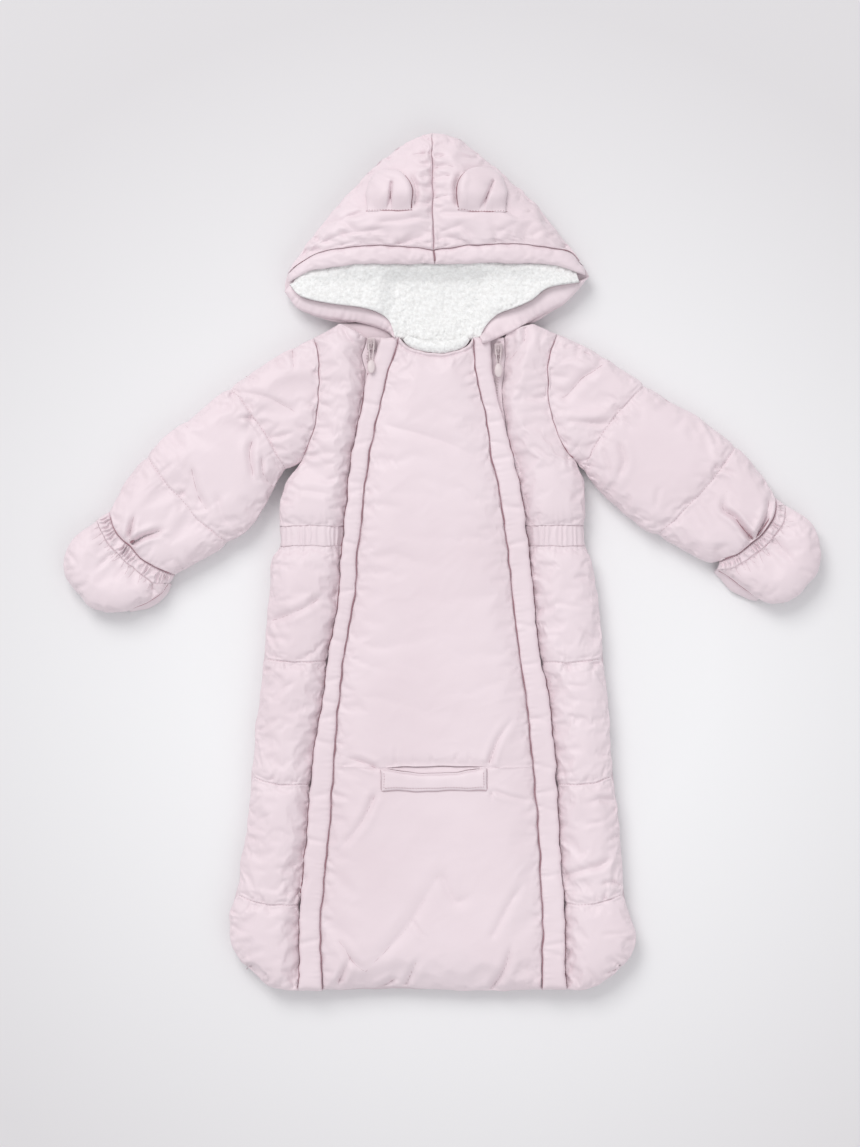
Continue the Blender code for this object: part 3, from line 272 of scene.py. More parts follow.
CREASES = (
    # depth at its start, depth at its end, width, then the line; over the centre front
    (1.2, 1.0, 10, ((-45, 137), (7, 122), (52, 102))),
    (2.6, 0.0, 6, ((-51, -178), (-66, -172), (-85, -167))),
    (3.2, 0.0, 6, ((52, -175), (61, -151), (80, -126))),
    (1.2, 0.0, 4, ((-34, -176), (-33, -152))),
    (2.6, 0.4, 7, ((-52, -202), (-66, -230), (-94, -263))),
    (2.4, 0.0, 4, ((54, -200), (56, -209))),
    (1.6, 0.6, 5, ((56, -199), (74, -205), (94, -209))),
    (0.9, 2.6, 12, ((7, -274), (-25, -326), (-61, -365))),
    (2.2, 1.2, 11, ((8, -275), (22, -301), (39, -290))),
    (1.0, 2.6, 7, ((-86, -335), (-74, -354), (-63, -364))),
    (4.8, 1.2, 7, ((-86, -377), (-80, -363), (-74, -350))),
    (5.0, 1.2, 7, ((-50, -383), (-40, -377), (-30, -370))),
    (4.2, 1.2, 7, ((-26, -383), (-19, -367), (-13, -351))),
    (5.2, 1.2, 8, ((53, -385), (67, -362), (74, -334))),
    (1.6, 1.6, 8, ((54, -335), (72, -301), (89, -278))),
    (1.0, 1.0, 4, ((-18, -318), (-6, -335))),
    (1.4, 0.0, 4, ((0, -173), (-2, -164))),
    (1.3, 0.0, 4, ((21, -172), (24, -162))),
    (1.2, 0.0, 4, ((35, -172), (33, -161))),
    (1.0, 0.0, 4, ((-16, -174), (-18, -165))),
    # lower side fronts
    (2.8, 1.4, 7, ((-147, -43), (-116, -31), (-91, -11))),
    (1.4, 0.6, 5, ((-147, -27), (-125, -22))),
    (2.2, 0.6, 6, ((-161, -145), (-152, -140), (-137, -130))),
    (1.2, 1.2, 6, ((-148, -115), (-134, -104), (-123, -98))),
    (1.2, 0.3, 5, ((-163, -228), (-144, -218))),
    (0.8, 1.8, 6, ((-144, -271), (-118, -266))),
    (3.2, 1.0, 8, ((-115, -276), (-128, -302))),
    (3.4, 0.4, 5, ((-172, -366), (-161, -356))),
    (0.8, 1.8, 8, ((-142, -342), (-123, -324))),
    (1.5, 0.3, 5, ((-144, 7), (-133, 16))),
    (1.2, 0.2, 4, ((-151, -4), (-139, 3))),
    (1.0, 0.2, 4, ((-121, 12), (-116, 23))),
    (1.1, 0.9, 5, ((112, -27), (141, -31))),
    (1.0, 1.8, 6, ((134, -49), (145, -58), (155, -60))),
    (1.1, 1.1, 5, ((123, -102), (144, -104))),
    (0.6, 0.6, 6, ((121, -114), (153, -119))),
    (2.4, 2.4, 7, ((118, -279), (141, -271), (155, -268), (167, -256))),
    (1.8, 2.2, 5, ((155, -285), (166, -283), (174, -288))),
    (0.8, 1.4, 5, ((141, -230), (158, -227))),
    (1.0, 1.9, 5, ((160, -247), (172, -239))),
    (0.6, 1.6, 5, ((156, -331), (183, -330))),
    (0.8, 2.6, 5, ((157, -368), (171, -364))),
    (1.8, 0.4, 5, ((123, -354), (130, -344))),
    (1.8, 0.4, 5, ((123, -367), (131, -357))),
    # upper side fronts
    (4.2, 0.8, 9, ((-83, 232), (-78, 218), (-64, 206))),
    (4.2, 0.8, 9, ((85, 229), (85, 214), (72, 197))),
    (0.8, 1.2, 6, ((-96, 85), (-75, 94))),
    (0.9, 0.9, 7, ((-121, 77), (-89, 72))),
    (0.7, 0.7, 7, ((-86, 138), (-83, 123))),
    (0.9, 0.6, 7, ((75, 132), (99, 140))),
    (0.7, 0.7, 7, ((118, 86), (136, 68))),
    # sleeves
    (1.8, 2.8, 8, ((-185, 168), (-150, 161), (-120, 145))),
    (3.4, 0.8, 6, ((-173, 183), (-158, 176))),
    (3.0, 0.8, 6, ((-129, 206), (-126, 185))),
    (3.0, 2.4, 7, ((-165, 122), (-167, 108), (-163, 82))),
    (1.8, 3.4, 5, ((-156, 108), (-155, 91), (-147, 80))),
    (1.6, 1.0, 5, ((-152, 124), (-137, 126), (-124, 131))),
    (1.2, 0.6, 5, ((-150, 126), (-138, 138))),
    (2.6, 1.4, 8, ((-221, 97), (-214, 71), (-202, 52))),
    (1.8, 0.8, 7, ((-197, 70), (-192, 53), (-183, 42))),
    (3.4, 0.8, 6, ((-231, 139), (-222, 134))),
    (9.0, 1.2, 6, ((-277, 27), (-262, 35), (-240, 42))),
    (1.6, 0.8, 5, ((-262, 34), (-246, 34), (-236, 27))),
    (7.0, 0.8, 6, ((-278, 31), (-276, 44), (-272, 57))),
    (0.8, 2.4, 5, ((-164, 64), (-150, 67))),
    (1.2, 0.4, 6, ((-208, 158), (-203, 146))),
    (0.8, 0.8, 6, ((-236, 109), (-232, 95))),
    (1.6, 4.0, 9, ((116, 162), (124, 163), (139, 180), (163, 195))),
    (3.2, 0.8, 5, ((139, 204), (147, 201))),
    (1.6, 2.2, 6, ((123, 140), (165, 137))),
    (2.2, 2.2, 7, ((171, 120), (176, 103), (169, 84))),
    (1.2, 1.2, 5, ((156, 116), (162, 97), (164, 82))),
    (1.8, 0.8, 5, ((173, 145), (184, 132))),
    (3.2, 0.8, 6, ((207, 166), (220, 157))),
    (9.0, 1.6, 6, ((294, 31), (278, 51), (267, 60), (270, 76))),
    (9.0, 1.4, 6, ((299, 34), (307, 52), (310, 72))),
    (2.0, 0.6, 5, ((259, 98), (281, 90))),
    (1.2, 1.2, 6, ((205, 61), (208, 81))),
    (1.8, 0.8, 5, ((178, 58), (181, 76))),
    (1.8, 0.4, 4, ((150, 80), (159, 83))),
    (0.6, 1.4, 6, ((273, 28), (259, 20))),
    # mittens
    (1.8, 0.6, 6, ((-293, 19), (-311, 2))),
    (1.6, 0.5, 5, ((-281, 7), (-294, -8))),
    (1.4, 0.5, 5, ((-303, 36), (-316, 30))),
    (3.0, 1.2, 7, ((309, 33), (324, 19), (336, 4))),
    (2.4, 0.8, 5, ((294, 19), (302, 0))),
    (1.8, 0.5, 5, ((321, 52), (335, 49))),
    (1.8, 0.6, 5, ((284, 12), (290, 0))),
    # hood
    (1.4, 1.0, 6, ((-81, 341), (-59, 334))),
    (1.8, 1.0, 7, ((-102, 319), (-83, 322), (-61, 306))),
    (1.6, 0.8, 6, ((-110, 309), (-93, 304), (-79, 307))),
    (1.4, 0.6, 6, ((-119, 294), (-94, 301))),
    (2.0, 1.0, 6, ((-79, 327), (-59, 330))),
    (1.4, 0.8, 6, ((90, 309), (106, 318))),
    (1.0, 0.8, 5, ((104, 307), (114, 312))),
    (1.2, 0.8, 6, ((65, 340), (81, 329))),
    (0.8, 0.8, 7, ((21, 320), (40, 308))),
    (1.8, 0.6, 7, ((-3, 373), (-22, 375))),
    (1.6, 0.5, 6, ((1, 386), (18, 381))),
    (1.6, 0.6, 6, ((2, 368), (18, 363))),
    (1.6, 0.6, 6, ((3, 348), (23, 351))),
    (1.4, 0.5, 6, ((-2, 353), (-18, 356))),
    (1.2, 0.5, 5, ((2, 341), (16, 338))),
    (1.2, 0.5, 5, ((-3, 337), (-17, 339))),
    (1.4, 0.5, 6, ((-2, 390), (-15, 391))),
    (3.4, 2.4, 6, ((-16, 336), (-15, 352), (-21, 368))),
    (3.4, 2.4, 6, ((23, 336), (22, 354), (27, 370))),
    (2.6, 0.6, 6, ((1, 380), (14, 383))),
    (2.9, 0.7, 7, ((2, 371), (14, 373), (25, 370))),
    (2.6, 0.6, 6, ((1, 362), (21, 364))),
    (2.3, 0.6, 6, ((1, 353), (14, 351))),
    (2.6, 0.7, 6, ((2, 343), (14, 345), (25, 342))),
    (2.6, 0.6, 6, ((-2, 384), (-13, 385), (-23, 382))),
    (2.3, 0.6, 6, ((-1, 375), (-18, 376))),
    (2.6, 0.6, 6, ((-1, 364), (-15, 362))),
    (2.3, 0.6, 6, ((-1, 350), (-14, 353))),
    (2.3, 0.6, 6, ((-1, 339), (-16, 339))),
    (2.3, 0.7, 7, ((-62, 332), (-78, 326), (-92, 320))),
    (2.0, 1.4, 6, ((-105, 302), (-79, 311), (-58, 313), (-34, 318))),
    (2.3, 0.7, 7, ((-115, 293), (-93, 297), (-68, 305))),
    (1.7, 0.5, 5, ((-86, 316), (-74, 303))),
    (1.7, 1.2, 6, ((-49, 321), (-27, 323), (-2, 328))),
    (1.4, 1.0, 6, ((-34, 302), (-17, 305), (0, 313))),
    (1.7, 1.2, 6, ((7, 330), (39, 330), (46, 331))),
    (2.0, 1.0, 6, ((66, 334), (79, 326), (94, 326))),
    (1.7, 0.7, 6, ((7, 312), (20, 316), (32, 322))),
    (1.4, 0.7, 6, ((60, 312), (81, 323))),
    (2.0, 0.6, 6, ((126, 296), (113, 305), (101, 316))),
    (1.4, 1.0, 7, ((-62, 337), (-68, 344), (-70, 351))),
)

GUARD_FOLDS = {
    # y of the creases across a guard, where its free edge steps
    "left": (160, 117, 85, 74, 28, -16, -64, -95, -122, -128, -160, -198, -252, -330),
    "right": (148, 144, 116, 109, 60, 28, -46, -86, -130, -137, -172, -206, -210, -284, -342, -348),
}

SIDES = ("left", "right")
OUTWARD = {"left": -1, "right": 1}


# ---- curves and grids

def track(rows, column):
    """A smooth function of y through one column of a table whose first column is y."""
    table = np.array(sorted((row[0], row[column]) for row in rows), float)
    ys, values = table[:, 0], table[:, 1]
    steps = np.diff(values) / np.diff(ys)
    turning = steps[:-1] * steps[1:] <= 0
    mean = 2 * steps[:-1] * steps[1:] / np.where(turning, 1, steps[:-1] + steps[1:])
    slopes = np.concatenate([steps[:1], np.where(turning, 0, mean), steps[-1:]])

    def at(y):
        y = np.clip(y, ys[0], ys[-1])
        k = np.clip(np.searchsorted(ys, y) - 1, 0, len(ys) - 2)
        span = ys[k + 1] - ys[k]
        t = (y - ys[k]) / span
        return ((2 * t ** 3 - 3 * t ** 2 + 1) * values[k] + (t ** 3 - 2 * t ** 2 + t) * span * slopes[k]
                + (3 * t ** 2 - 2 * t ** 3) * values[k + 1] + (t ** 3 - t ** 2) * span * slopes[k + 1])

    return at


def spline(points, steps=12):
    """A smooth line through a few points."""
    points = np.array(points, float)
    if len(points) < 3:
        return points
    ends = np.vstack([2 * points[0] - points[1], points, 2 * points[-1] - points[-2]])
    line = []
    for p, q, r, s in zip(ends, ends[1:], ends[2:], ends[3:]):
        for t in np.arange(steps) / steps:
            line.append(0.5 * (2 * q + (r - p) * t + (2 * p - 5 * q + 4 * r - s) * t ** 2
                               + (3 * q - p - 3 * r + s) * t ** 3))
    return np.vstack([line, points[-1]])


def run_of(line):
    """Distance run along a line, from 0 to 1, at each of its points."""
    run = distances(line)
    return run / run[-1]


def distances(line):
    """Distance run along a line at each of its points."""
    steps = np.linalg.norm(np.diff(line, axis=0), axis=1)
    return np.concatenate([[0], np.cumsum(steps)])


def length_of(line):
    return np.linalg.norm(np.diff(line, axis=0), axis=1).sum()


def headings(line):
    """The way that a line runs at each of its points."""
    heading = np.gradient(line, axis=0)
    return heading / np.linalg.norm(heading, axis=1, keepdims=True)


def spaced(line, shares):
    """The points at the given shares of a line's length."""
    run = run_of(line)
    return np.column_stack([np.interp(shares, run, line[:, axis]) for axis in range(line.shape[1])])


def patch(head, foot, left, right):
    """A grid between four edges: rows run from head to foot, columns from left to right."""
    u = ((run_of(head) + run_of(foot)) / 2)[None, :, None]
    v = ((run_of(left) + run_of(right)) / 2)[:, None, None]
    across = (1 - u) * left[:, None] + u * right[:, None]
    down = (1 - v) * head[None] + v * foot[None]
    corners = (1 - v) * ((1 - u) * head[0] + u * head[-1]) + v * ((1 - u) * foot[0] + u * foot[-1])
    return across + down - corners


def ladder(left, right, shares):
    """A grid between two lines, with its columns at the given shares of the way across."""
    return left[:, None] + (right - left)[:, None] * shares[None, :, None]


def tube_plan(start, end, top, low, rows, columns):
    """A grid between four lines, at given shares along them."""
    return patch(spaced(start, columns), spaced(end, columns), spaced(top, rows), spaced(low, rows))


def away(points, line):
    """Distance of each point of a grid from a line."""
    flat = points.reshape(-1, 1, 2)
    start, step = line[:-1][None], np.diff(line, axis=0)[None]
    share = ((flat - start) * step).sum(2) / np.maximum((step ** 2).sum(2), 1e-9)
    nearest = start + np.clip(share, 0, 1)[..., None] * step
    return np.linalg.norm(flat - nearest, axis=2).min(1).reshape(points.shape[:-1])


def from_nearest(points, *lines):
    """Distance of each point of a grid from the nearest of some lines."""
    return np.min([away(points, line) for line in lines], axis=0)


def from_sides(points, *lines):
    """Distance of each point of a grid from its first and last columns, and from some more lines."""
    return from_nearest(points, points[:, 0], points[:, -1], *lines)


def rim(plan):
    """The closed outline of a grid."""
    return np.vstack([plan[0], plan[1:, -1], plan[-1, -2::-1], plan[-2::-1, 0]])


def from_rim(points):
    return away(points, rim(points))


def rise(distance, reach):
    """A quarter round: 0 at a seam, 1 from its reach inwards."""
    return np.sqrt(1 - (1 - np.clip(distance / reach, 0, 1)) ** 2)


def rim_fade(points, reach=2):
    """0 along the outline of a grid, 1 from its reach inwards."""
    return smooth_step(from_rim(points) / reach)


def trough(distance, width):
    return np.exp(-(2 * distance / width) ** 2)


def inset(plan, gap=SEAM_GAP / 2 + 0.03):
    """The grid with its outline drawn in, which leaves the gap of a seam."""
    drawn = plan.copy()
    for edge, inner in ((np.s_[0], np.s_[1]), (np.s_[-1], np.s_[-2]),
                        (np.s_[:, 0], np.s_[:, 1]), (np.s_[:, -1], np.s_[:, -2])):
        step = plan[inner] - plan[edge]
        drawn[edge] += gap * step / np.linalg.norm(step, axis=-1, keepdims=True)
    return drawn


def even(count):
    return np.linspace(0, 1, count + 1)


def near_ends(count):
    """Shares of a run that lie closer together beside its two ends."""
    closer = (1 - np.cos(np.pi * np.arange(count + 1) / count)) / 2
    return 0.55 * even(count) + 0.45 * closer


def fours(length, step):
    """Number of steps along a length, as a multiple of four."""
    return max(8, 4 * round(length / step / 4))


def beside(points, line):
    """Distance of points in plan from a line, and the length run along it to the nearest place."""
    steps = np.diff(line, axis=0)
    lengths = np.linalg.norm(steps, axis=1)
    run = distances(line)[:-1]
    flat = points.reshape(-1, 2)
    nearest, along = np.full(len(flat), np.inf), np.zeros(len(flat))
    for start, step, length, before in zip(line, steps, lengths, run):
        share = np.clip((flat - start) @ step / max(length ** 2, 1e-9), 0, 1)
        gap = np.linalg.norm(flat - start - share[:, None] * step, axis=1)
        closer = gap < nearest
        nearest[closer], along[closer] = gap[closer], (before + share * length)[closer]
    return nearest.reshape(points.shape[:-1]), along.reshape(points.shape[:-1])


LATTICE = 64            # cells after which noise and tufts repeat


def noise(points, size, seed):
    """Smooth noise of about -1 to 1 over the plan, with swells of the given size."""
    lattice = np.random.default_rng(seed).uniform(0, 2 * np.pi, (LATTICE, LATTICE))
    cell = np.floor(points / size).astype(int)
    inside = points / size - cell
    total = np.zeros(points.shape[:-1])
    for i in (0, 1):
        for j in (0, 1):
            angle = lattice[(cell[..., 0] + i) % LATTICE, (cell[..., 1] + j) % LATTICE]
            x, y = inside[..., 0] - i, inside[..., 1] - j
            fade = 1
            for off in (1 - np.abs(x), 1 - np.abs(y)):
                fade = fade * off ** 3 * (off * (off * 6 - 15) + 10)
            total += fade * (x * np.cos(angle) + y * np.sin(angle))
    return 1.7 * total


def along_noise(run, size, seed):
    return noise(np.stack([run, np.full_like(run, 7.3 * seed)], axis=-1), size, seed)


def smooth_step(value):
    value = np.clip(value, 0, 1)
    return value * value * (3 - 2 * value)


# ---- relief of sewn cloth

def fold_phase(points, run, pitch, sway, drift):
    """Number of folds run past. It sways along the run and drifts over the plan, each of these given
    by its amount, size and seed."""
    return run / pitch + sway[0] * along_noise(run, *sway[1:]) + drift[0] * noise(points, *drift[1:])


def uneven(run, size, seed, mean, spread, least, most):
    """A strength that wanders along a run, between two limits."""
    return np.clip(mean + spread * along_noise(run, size, seed), least, most)


def puckers(points, line, pitch, depth, reach, seed):
    """Uneven ripples that run away from a stitched line."""
    gap, run = beside(points, line)
    phase = fold_phase(points, run, pitch, (0.8, 3.1 * pitch, seed), (0.22, 14, seed + 1))
    strength = uneven(run, 2.4 * pitch, seed + 2, 0.55, 0.75, 0.05, 1.3)
    length = reach * uneven(run, 1.7 * pitch, seed + 3, 0.8, 0.8, 0.25, 1.6)
    fold = 0.75 - 1.9 * np.abs(np.cos(np.pi * phase)) ** 4
    return depth * strength * fold * np.exp(-(gap / length) ** 1.4)


def creased(points, creases=CREASES):
    """Sum of creases: each is a valley between two soft lips, deep at its start."""
    depth = np.zeros(points.shape[:-1])
    for first, last, width, places in creases:
        line = spline(places, 6)
        low, high = line.min(0) - 2 * width, line.max(0) + 2 * width
        near = np.all((points > low) & (points < high), axis=-1)
        if near.any():
            gap, run = beside(points[near], line)
            length = length_of(line)
            share = run / length
            taper = smooth_step((run + 0.35 * width) / width)
            taper = taper * smooth_step((length - run + 0.5) / (0.35 * length))
            across = 2 * gap / width
            valley = 0.65 * np.exp(-across ** 2) + 0.5 * np.exp(-(2.8 * across) ** 2)
            valley -= (0.4 if width < 7.5 else 0.22) * np.exp(-(across - 1.8) ** 2)
            depth[near] += (first + (last - first) * share) * taper * valley
    return depth


def gathered(points, line, pitch, depth, reach, seed):
    """Narrow uneven folds that fan out from a line of elastic."""
    gap, run = beside(points, line)
    phase = fold_phase(points, run, pitch, (0.9, 2.6 * pitch, seed), (0.3, 11, seed + 1))
    strength = uneven(run, 1.9 * pitch, seed + 2, 0.6, 1.1, 0.1, 1.6)
    length = reach * uneven(run, 1.4 * pitch, seed + 3, 0.7, 1.1, 0.25, 1.9)
    fold = 0.45 - np.abs(np.cos(np.pi * phase)) ** 5
    return depth * strength * fold * np.exp(-(gap / length) ** 1.5)


def inwards(line, shares, middle):
    """Places on a line, each with the line's way there and the way across it to the middle."""
    for start, following in zip(spaced(line, shares), spaced(line, shares + 0.01)):
        along = (following - start) / np.linalg.norm(following - start)
        inward = np.array([-along[1], along[0]])
        inward *= 1 if inward @ (middle - start) > 0 else -1
        yield start, along, inward


def stray_creases(plan, lines, seed, spacing, longest, deepest):
    """Short creases that start at the seams and lean away from the square, each a little different."""
    generator = np.random.default_rng(seed)
    middle = plan.reshape(-1, 2).mean(0)
    found = []
    for line in lines:
        shares = np.sort(generator.uniform(0.02, 0.98, int(length_of(line) / spacing)))
        for start, along, inward in inwards(line, shares, middle):
            lean, bend = generator.normal(0, 0.5), generator.normal(0, 0.1)
            size = generator.uniform(0.15, 1) ** 1.6
            length = 5 + (longest - 5) * size
            way = inward * math.cos(lean) + along * math.sin(lean)
            side = np.array([-way[1], way[0]])
            places = (start, start + way * length * 0.5 + side * length * bend, start + way * length)
            depth = deepest * generator.uniform(0.25, 1)
            found.append((depth, 0.25 * depth, 3.0 + 3.5 * size, places))
    return found


def crumpled(points, seed):
    """Broad swells and a few soft wrinkles of cloth that was laid down by hand."""
    swell = 0.9 * noise(points, 46, seed) + 0.45 * noise(points, 21, seed + 1)
    turned = points @ np.array([[0.8, -0.6], [0.6, 0.8]]) * np.array([0.45, 1.0])
    ridge = 1 - np.abs(noise(turned, 17, seed + 2)) * 1.6
    where = smooth_step(0.5 + 1.5 * noise(points, 34, seed + 3))
    return swell + 0.7 * np.clip(ridge, 0, 1) ** 3 * where


WANDERS = ((0.75, 13, 3), (0.7, 31, 8))     # amount, size and seed of the two swells of a field


def shifted(points):
    """The plan moved a little by that field, one for the whole bag, so that no seam runs dead straight."""
    wander = [sum(amount * noise(points, size, seed + k) for amount, size, seed in WANDERS) for k in (0, 1)]
    return points + np.stack(wander, axis=-1)


# ---- seam lines of the body

side_line = {"left": track(BODY_SIDES, 1), "right": track(BODY_SIDES, 2)}
guard_outer = {"left": track(FRONT_LINES, 1), "right": track(FRONT_LINES, 4)}
guard_inner = {"left": track(FRONT_LINES, 2), "right": track(FRONT_LINES, 3)}
valley = {"left": track(ZIP_VALLEY, 1), "right": track(ZIP_VALLEY, 2)}


def named(side, *names):
    return [f"{name}_{side}" for name in names]


def zip_edge(side, rows):
    return np.column_stack([guard_outer[side](rows) + OUTWARD[side] * valley[side](rows), rows])


def guard_seam(side, rows):
    return np.column_stack([guard_inner[side](rows), rows])


def seam_line(side, rows):
    return np.column_stack([side_line[side](rows), rows])


def hem(side):
    corner = (side_line[side](HEM_CORNER), HEM_CORNER)
    return spline([corner, *((OUTWARD[side] * x, y) for x, y in HEM)])


def body_edge():
    lines = []
    for side in SIDES:
        lines.append(np.vstack([seam_line(side, np.linspace(UNDERARM, HEM_CORNER, 60)), hem(side)]))
        lines.append(np.array(SHOULDER[side], float))
    return lines


BODY_EDGE = body_edge()
FOLD_LINE = np.vstack([spline(HOOD_FOLD["left"])[::-1], spline(HOOD_FOLD["right"])[1:]])


def from_edge(plan):
    return from_nearest(plan, *BODY_EDGE)


def front_ground(plan):
    """Height of the front's seams."""
    return SEAM_TOP + LIFT * rise(from_edge(plan), LIFT_REACH)


def side_ground(side):
    """Height of a side front's seams, which dips to the zip along its inner edge."""
    line = zip_edge(side, np.linspace(ZIP_TOP, FOOT, 80))

    def ground(plan):
        dip = ZIP_DIP * np.exp(-(away(plan, line) / ZIP_DIP_WIDTH) ** 2)
        return front_ground(plan) - dip * rise(from_edge(plan), ZIP_DIP_REACH)

    return ground


def hood_arch(plan):
    return HOOD_ARCH * rise(away(plan, FOLD_LINE), HOOD_REACH)


def hood_ground(plan):
    return SEAM_TOP + 1.1 * hood_arch(plan) + FOLD_RISE * rise(away(plan, FOLD_LINE), FOLD_REACH)


# ---- padded faces

FINE = 2.6              # spacing of a face before it is swollen and refined
HOOD_FINE = 2.3
COARSE = 3.4            # spacing of a piece that is never seen from above

# rough lengths and widths, which give each face its number of steps

BAG_LONG, BAG_WIDE = 600, 300
UPPER_LONG, UPPER_WIDE = 190, 88
LOWER_WIDE = 100
CENTRE_WIDE = 175
SLEEVE_LONG, SLEEVE_WIDE = 200, 130
MITTEN_LONG, MITTEN_WIDE = 60, 80
HOOD_TALL, HOOD_WIDE = 120, 80
BRIM_WIDE = 140
HOOD_BACK_TALL, HOOD_BACK_WIDE = 170, 140

faces = {}


def add_face(name, plan, height, held=(), soft=(), calm=False):
    """One padded face: its plan, heights, rows held by quilting, gathered rows, and whether it is taut."""
    pinned = np.zeros(plan.shape[:2], bool)
    pinned[[0, -1]] = True
    pinned[:, [0, -1]] = True
    for row in held:
        pinned[row] = True
    faces[name] = {"points": np.dstack([plan, height]), "pinned": pinned, "held": held, "soft": soft,
                   "calm": calm}


def facing_up(plan):
    """The plan with its columns turned where needed, so that its rows and columns wind one way."""
    down, right = plan[1, 0] - plan[0, 0], plan[0, 1] - plan[0, 0]
    return plan if down[0] * right[1] - down[1] * right[0] > 0 else plan[:, ::-1]


def refined(grid):
    """A grid with twice as many steps each way, on smooth curves through its points."""
    for axis in (0, 1):
        grid = np.moveaxis(grid, axis, 0)
        ends = np.concatenate([2 * grid[:1] - grid[1:2], grid, 2 * grid[-1:] - grid[-2:-1]])
        halfway = (9 * (ends[1:-2] + ends[2:-1]) - ends[:-3] - ends[3:]) / 16
        finer = np.empty((2 * len(grid) - 1,) + grid.shape[1:])
        finer[::2], finer[1::2] = grid, halfway
        grid = np.moveaxis(finer, 0, axis)
    return grid


def between(stops, lengths):
    """Places from stop to stop, closer together beside each, and the rows at the stops within."""
    places, rows = [], []
    for start, end, length in zip(stops, stops[1:], lengths):
        shares = near_ends(fours(length, FINE))[:-1]
        places += [np.array(start) + (np.array(end) - start) * share for share in shares]
        rows.append(len(places))
    return np.array(places + [stops[-1]]), rows[:-1]


def make_body_faces():
    for side in SIDES:
        rows, across = fours(UPPER_LONG, FINE), fours(UPPER_WIDE, FINE)
        below = seam_line(side, np.linspace(UNDERARM, WAIST_TOP, 20))
        outer = np.vstack([spline(ARMHOLE[side]), below[1:]])
        inner = zip_edge(side, np.linspace(ZIP_TOP, WAIST_TOP, 60))
        neck_end, arm_end = (np.array(end, float) for end in SHOULDER[side])
        neck = spline((neck_end, (OUTWARD[side] * NECK_BEND[0], NECK_BEND[1]), inner[0]))
        head, foot = np.vstack([arm_end, neck]), np.linspace(outer[-1], inner[-1], 5)
        plan = tube_plan(head, foot, outer, inner, near_ends(rows), near_ends(across))
        add_padded(f"front_upper_{side}", plan, side_ground(side), PUFF, PUFF_REACH, soft=(-1,))

        stops = [(WAIST_FOOT, WAIST_FOOT), *QUILT_LINES, (FOOT, HEM_CORNER)]
        shares, held = between(stops, np.abs(np.diff([zip_y for zip_y, _ in stops])))
        outer, inner = seam_line(side, shares[:, 1]), zip_edge(side, shares[:, 0])
        curve = hem(side)
        stop = np.argmin(np.abs(np.abs(curve[:, 0]) - abs(inner[-1, 0])))
        across = near_ends(fours(LOWER_WIDE, FINE))
        foot = spaced(np.vstack([curve[:stop], inner[-1]]), across)
        plan = patch(spaced(np.array([outer[0], inner[0]]), across), foot, outer, inner)
        add_padded(f"front_lower_{side}", plan, side_ground(side), PUFF, PUFF_REACH, held, soft=(0,))
    make_centre_face()


DIP = 0.4               # share of the swell that is missing along a soft line
QUILT_DIP = 0.2         # the same along a quilting line
SEAM_RISE = 0.35        # share of the swell that a seam keeps


def add_padded(name, plan, ground, puff, reach, held=(), soft=(), dip=DIP, calm=False):
    """A face that swells from its seams, and dips along its quilting lines and its gathered rows."""
    plan = facing_up(inset(shifted(plan)))
    hard = [plan[:, 0], plan[:, -1]] + [plan[row] for row in (0, -1) if row not in soft]
    lift = SEAM_RISE + (1 - SEAM_RISE) * rise(from_nearest(plan, *hard), reach)
    for rows, share, width in ((soft, dip, 17), (held, QUILT_DIP, 11)):
        if len(rows):
            gap = from_nearest(plan, *(plan[row] for row in rows))
            lift = lift * (1 - share * trough(gap, width))
    for row in held:
        plan = notched(plan, plan[row])
    height = ground(plan) + puff * lift
    for row in held:
        height[row] -= 0.5
    add_face(name, plan, height, held, soft, calm)


def notched(plan, line):
    """The plan drawn in a little at both ends of a quilting line."""
    for end, beside_end in ((line[0], line[1]), (line[-1], line[-2])):
        inward = (beside_end - end) / np.linalg.norm(beside_end - end)
        gap = np.linalg.norm(plan - end, axis=-1, keepdims=True)
        plan = plan + 1.5 * inward * np.exp(-(gap / 4) ** 2)
    return plan


POCKET_ROWS = (0.12, 0.5, 0.88)     # shares of the way from the slot's upper lip to its lower one
POCKET_DEPTH = 3.8


def slot_lips():
    share = np.linspace(0, 1, 25)
    x = SLOT["left"] + (SLOT["right"] - SLOT["left"]) * share
    bulge = SLOT["lens"] * np.sin(np.pi * share)
    upper = np.column_stack([x, SLOT["y"] + 0.25 * bulge + 0.4])
    lower = np.column_stack([x, SLOT["y"] - 0.75 * bulge - 0.4])
    return upper, lower


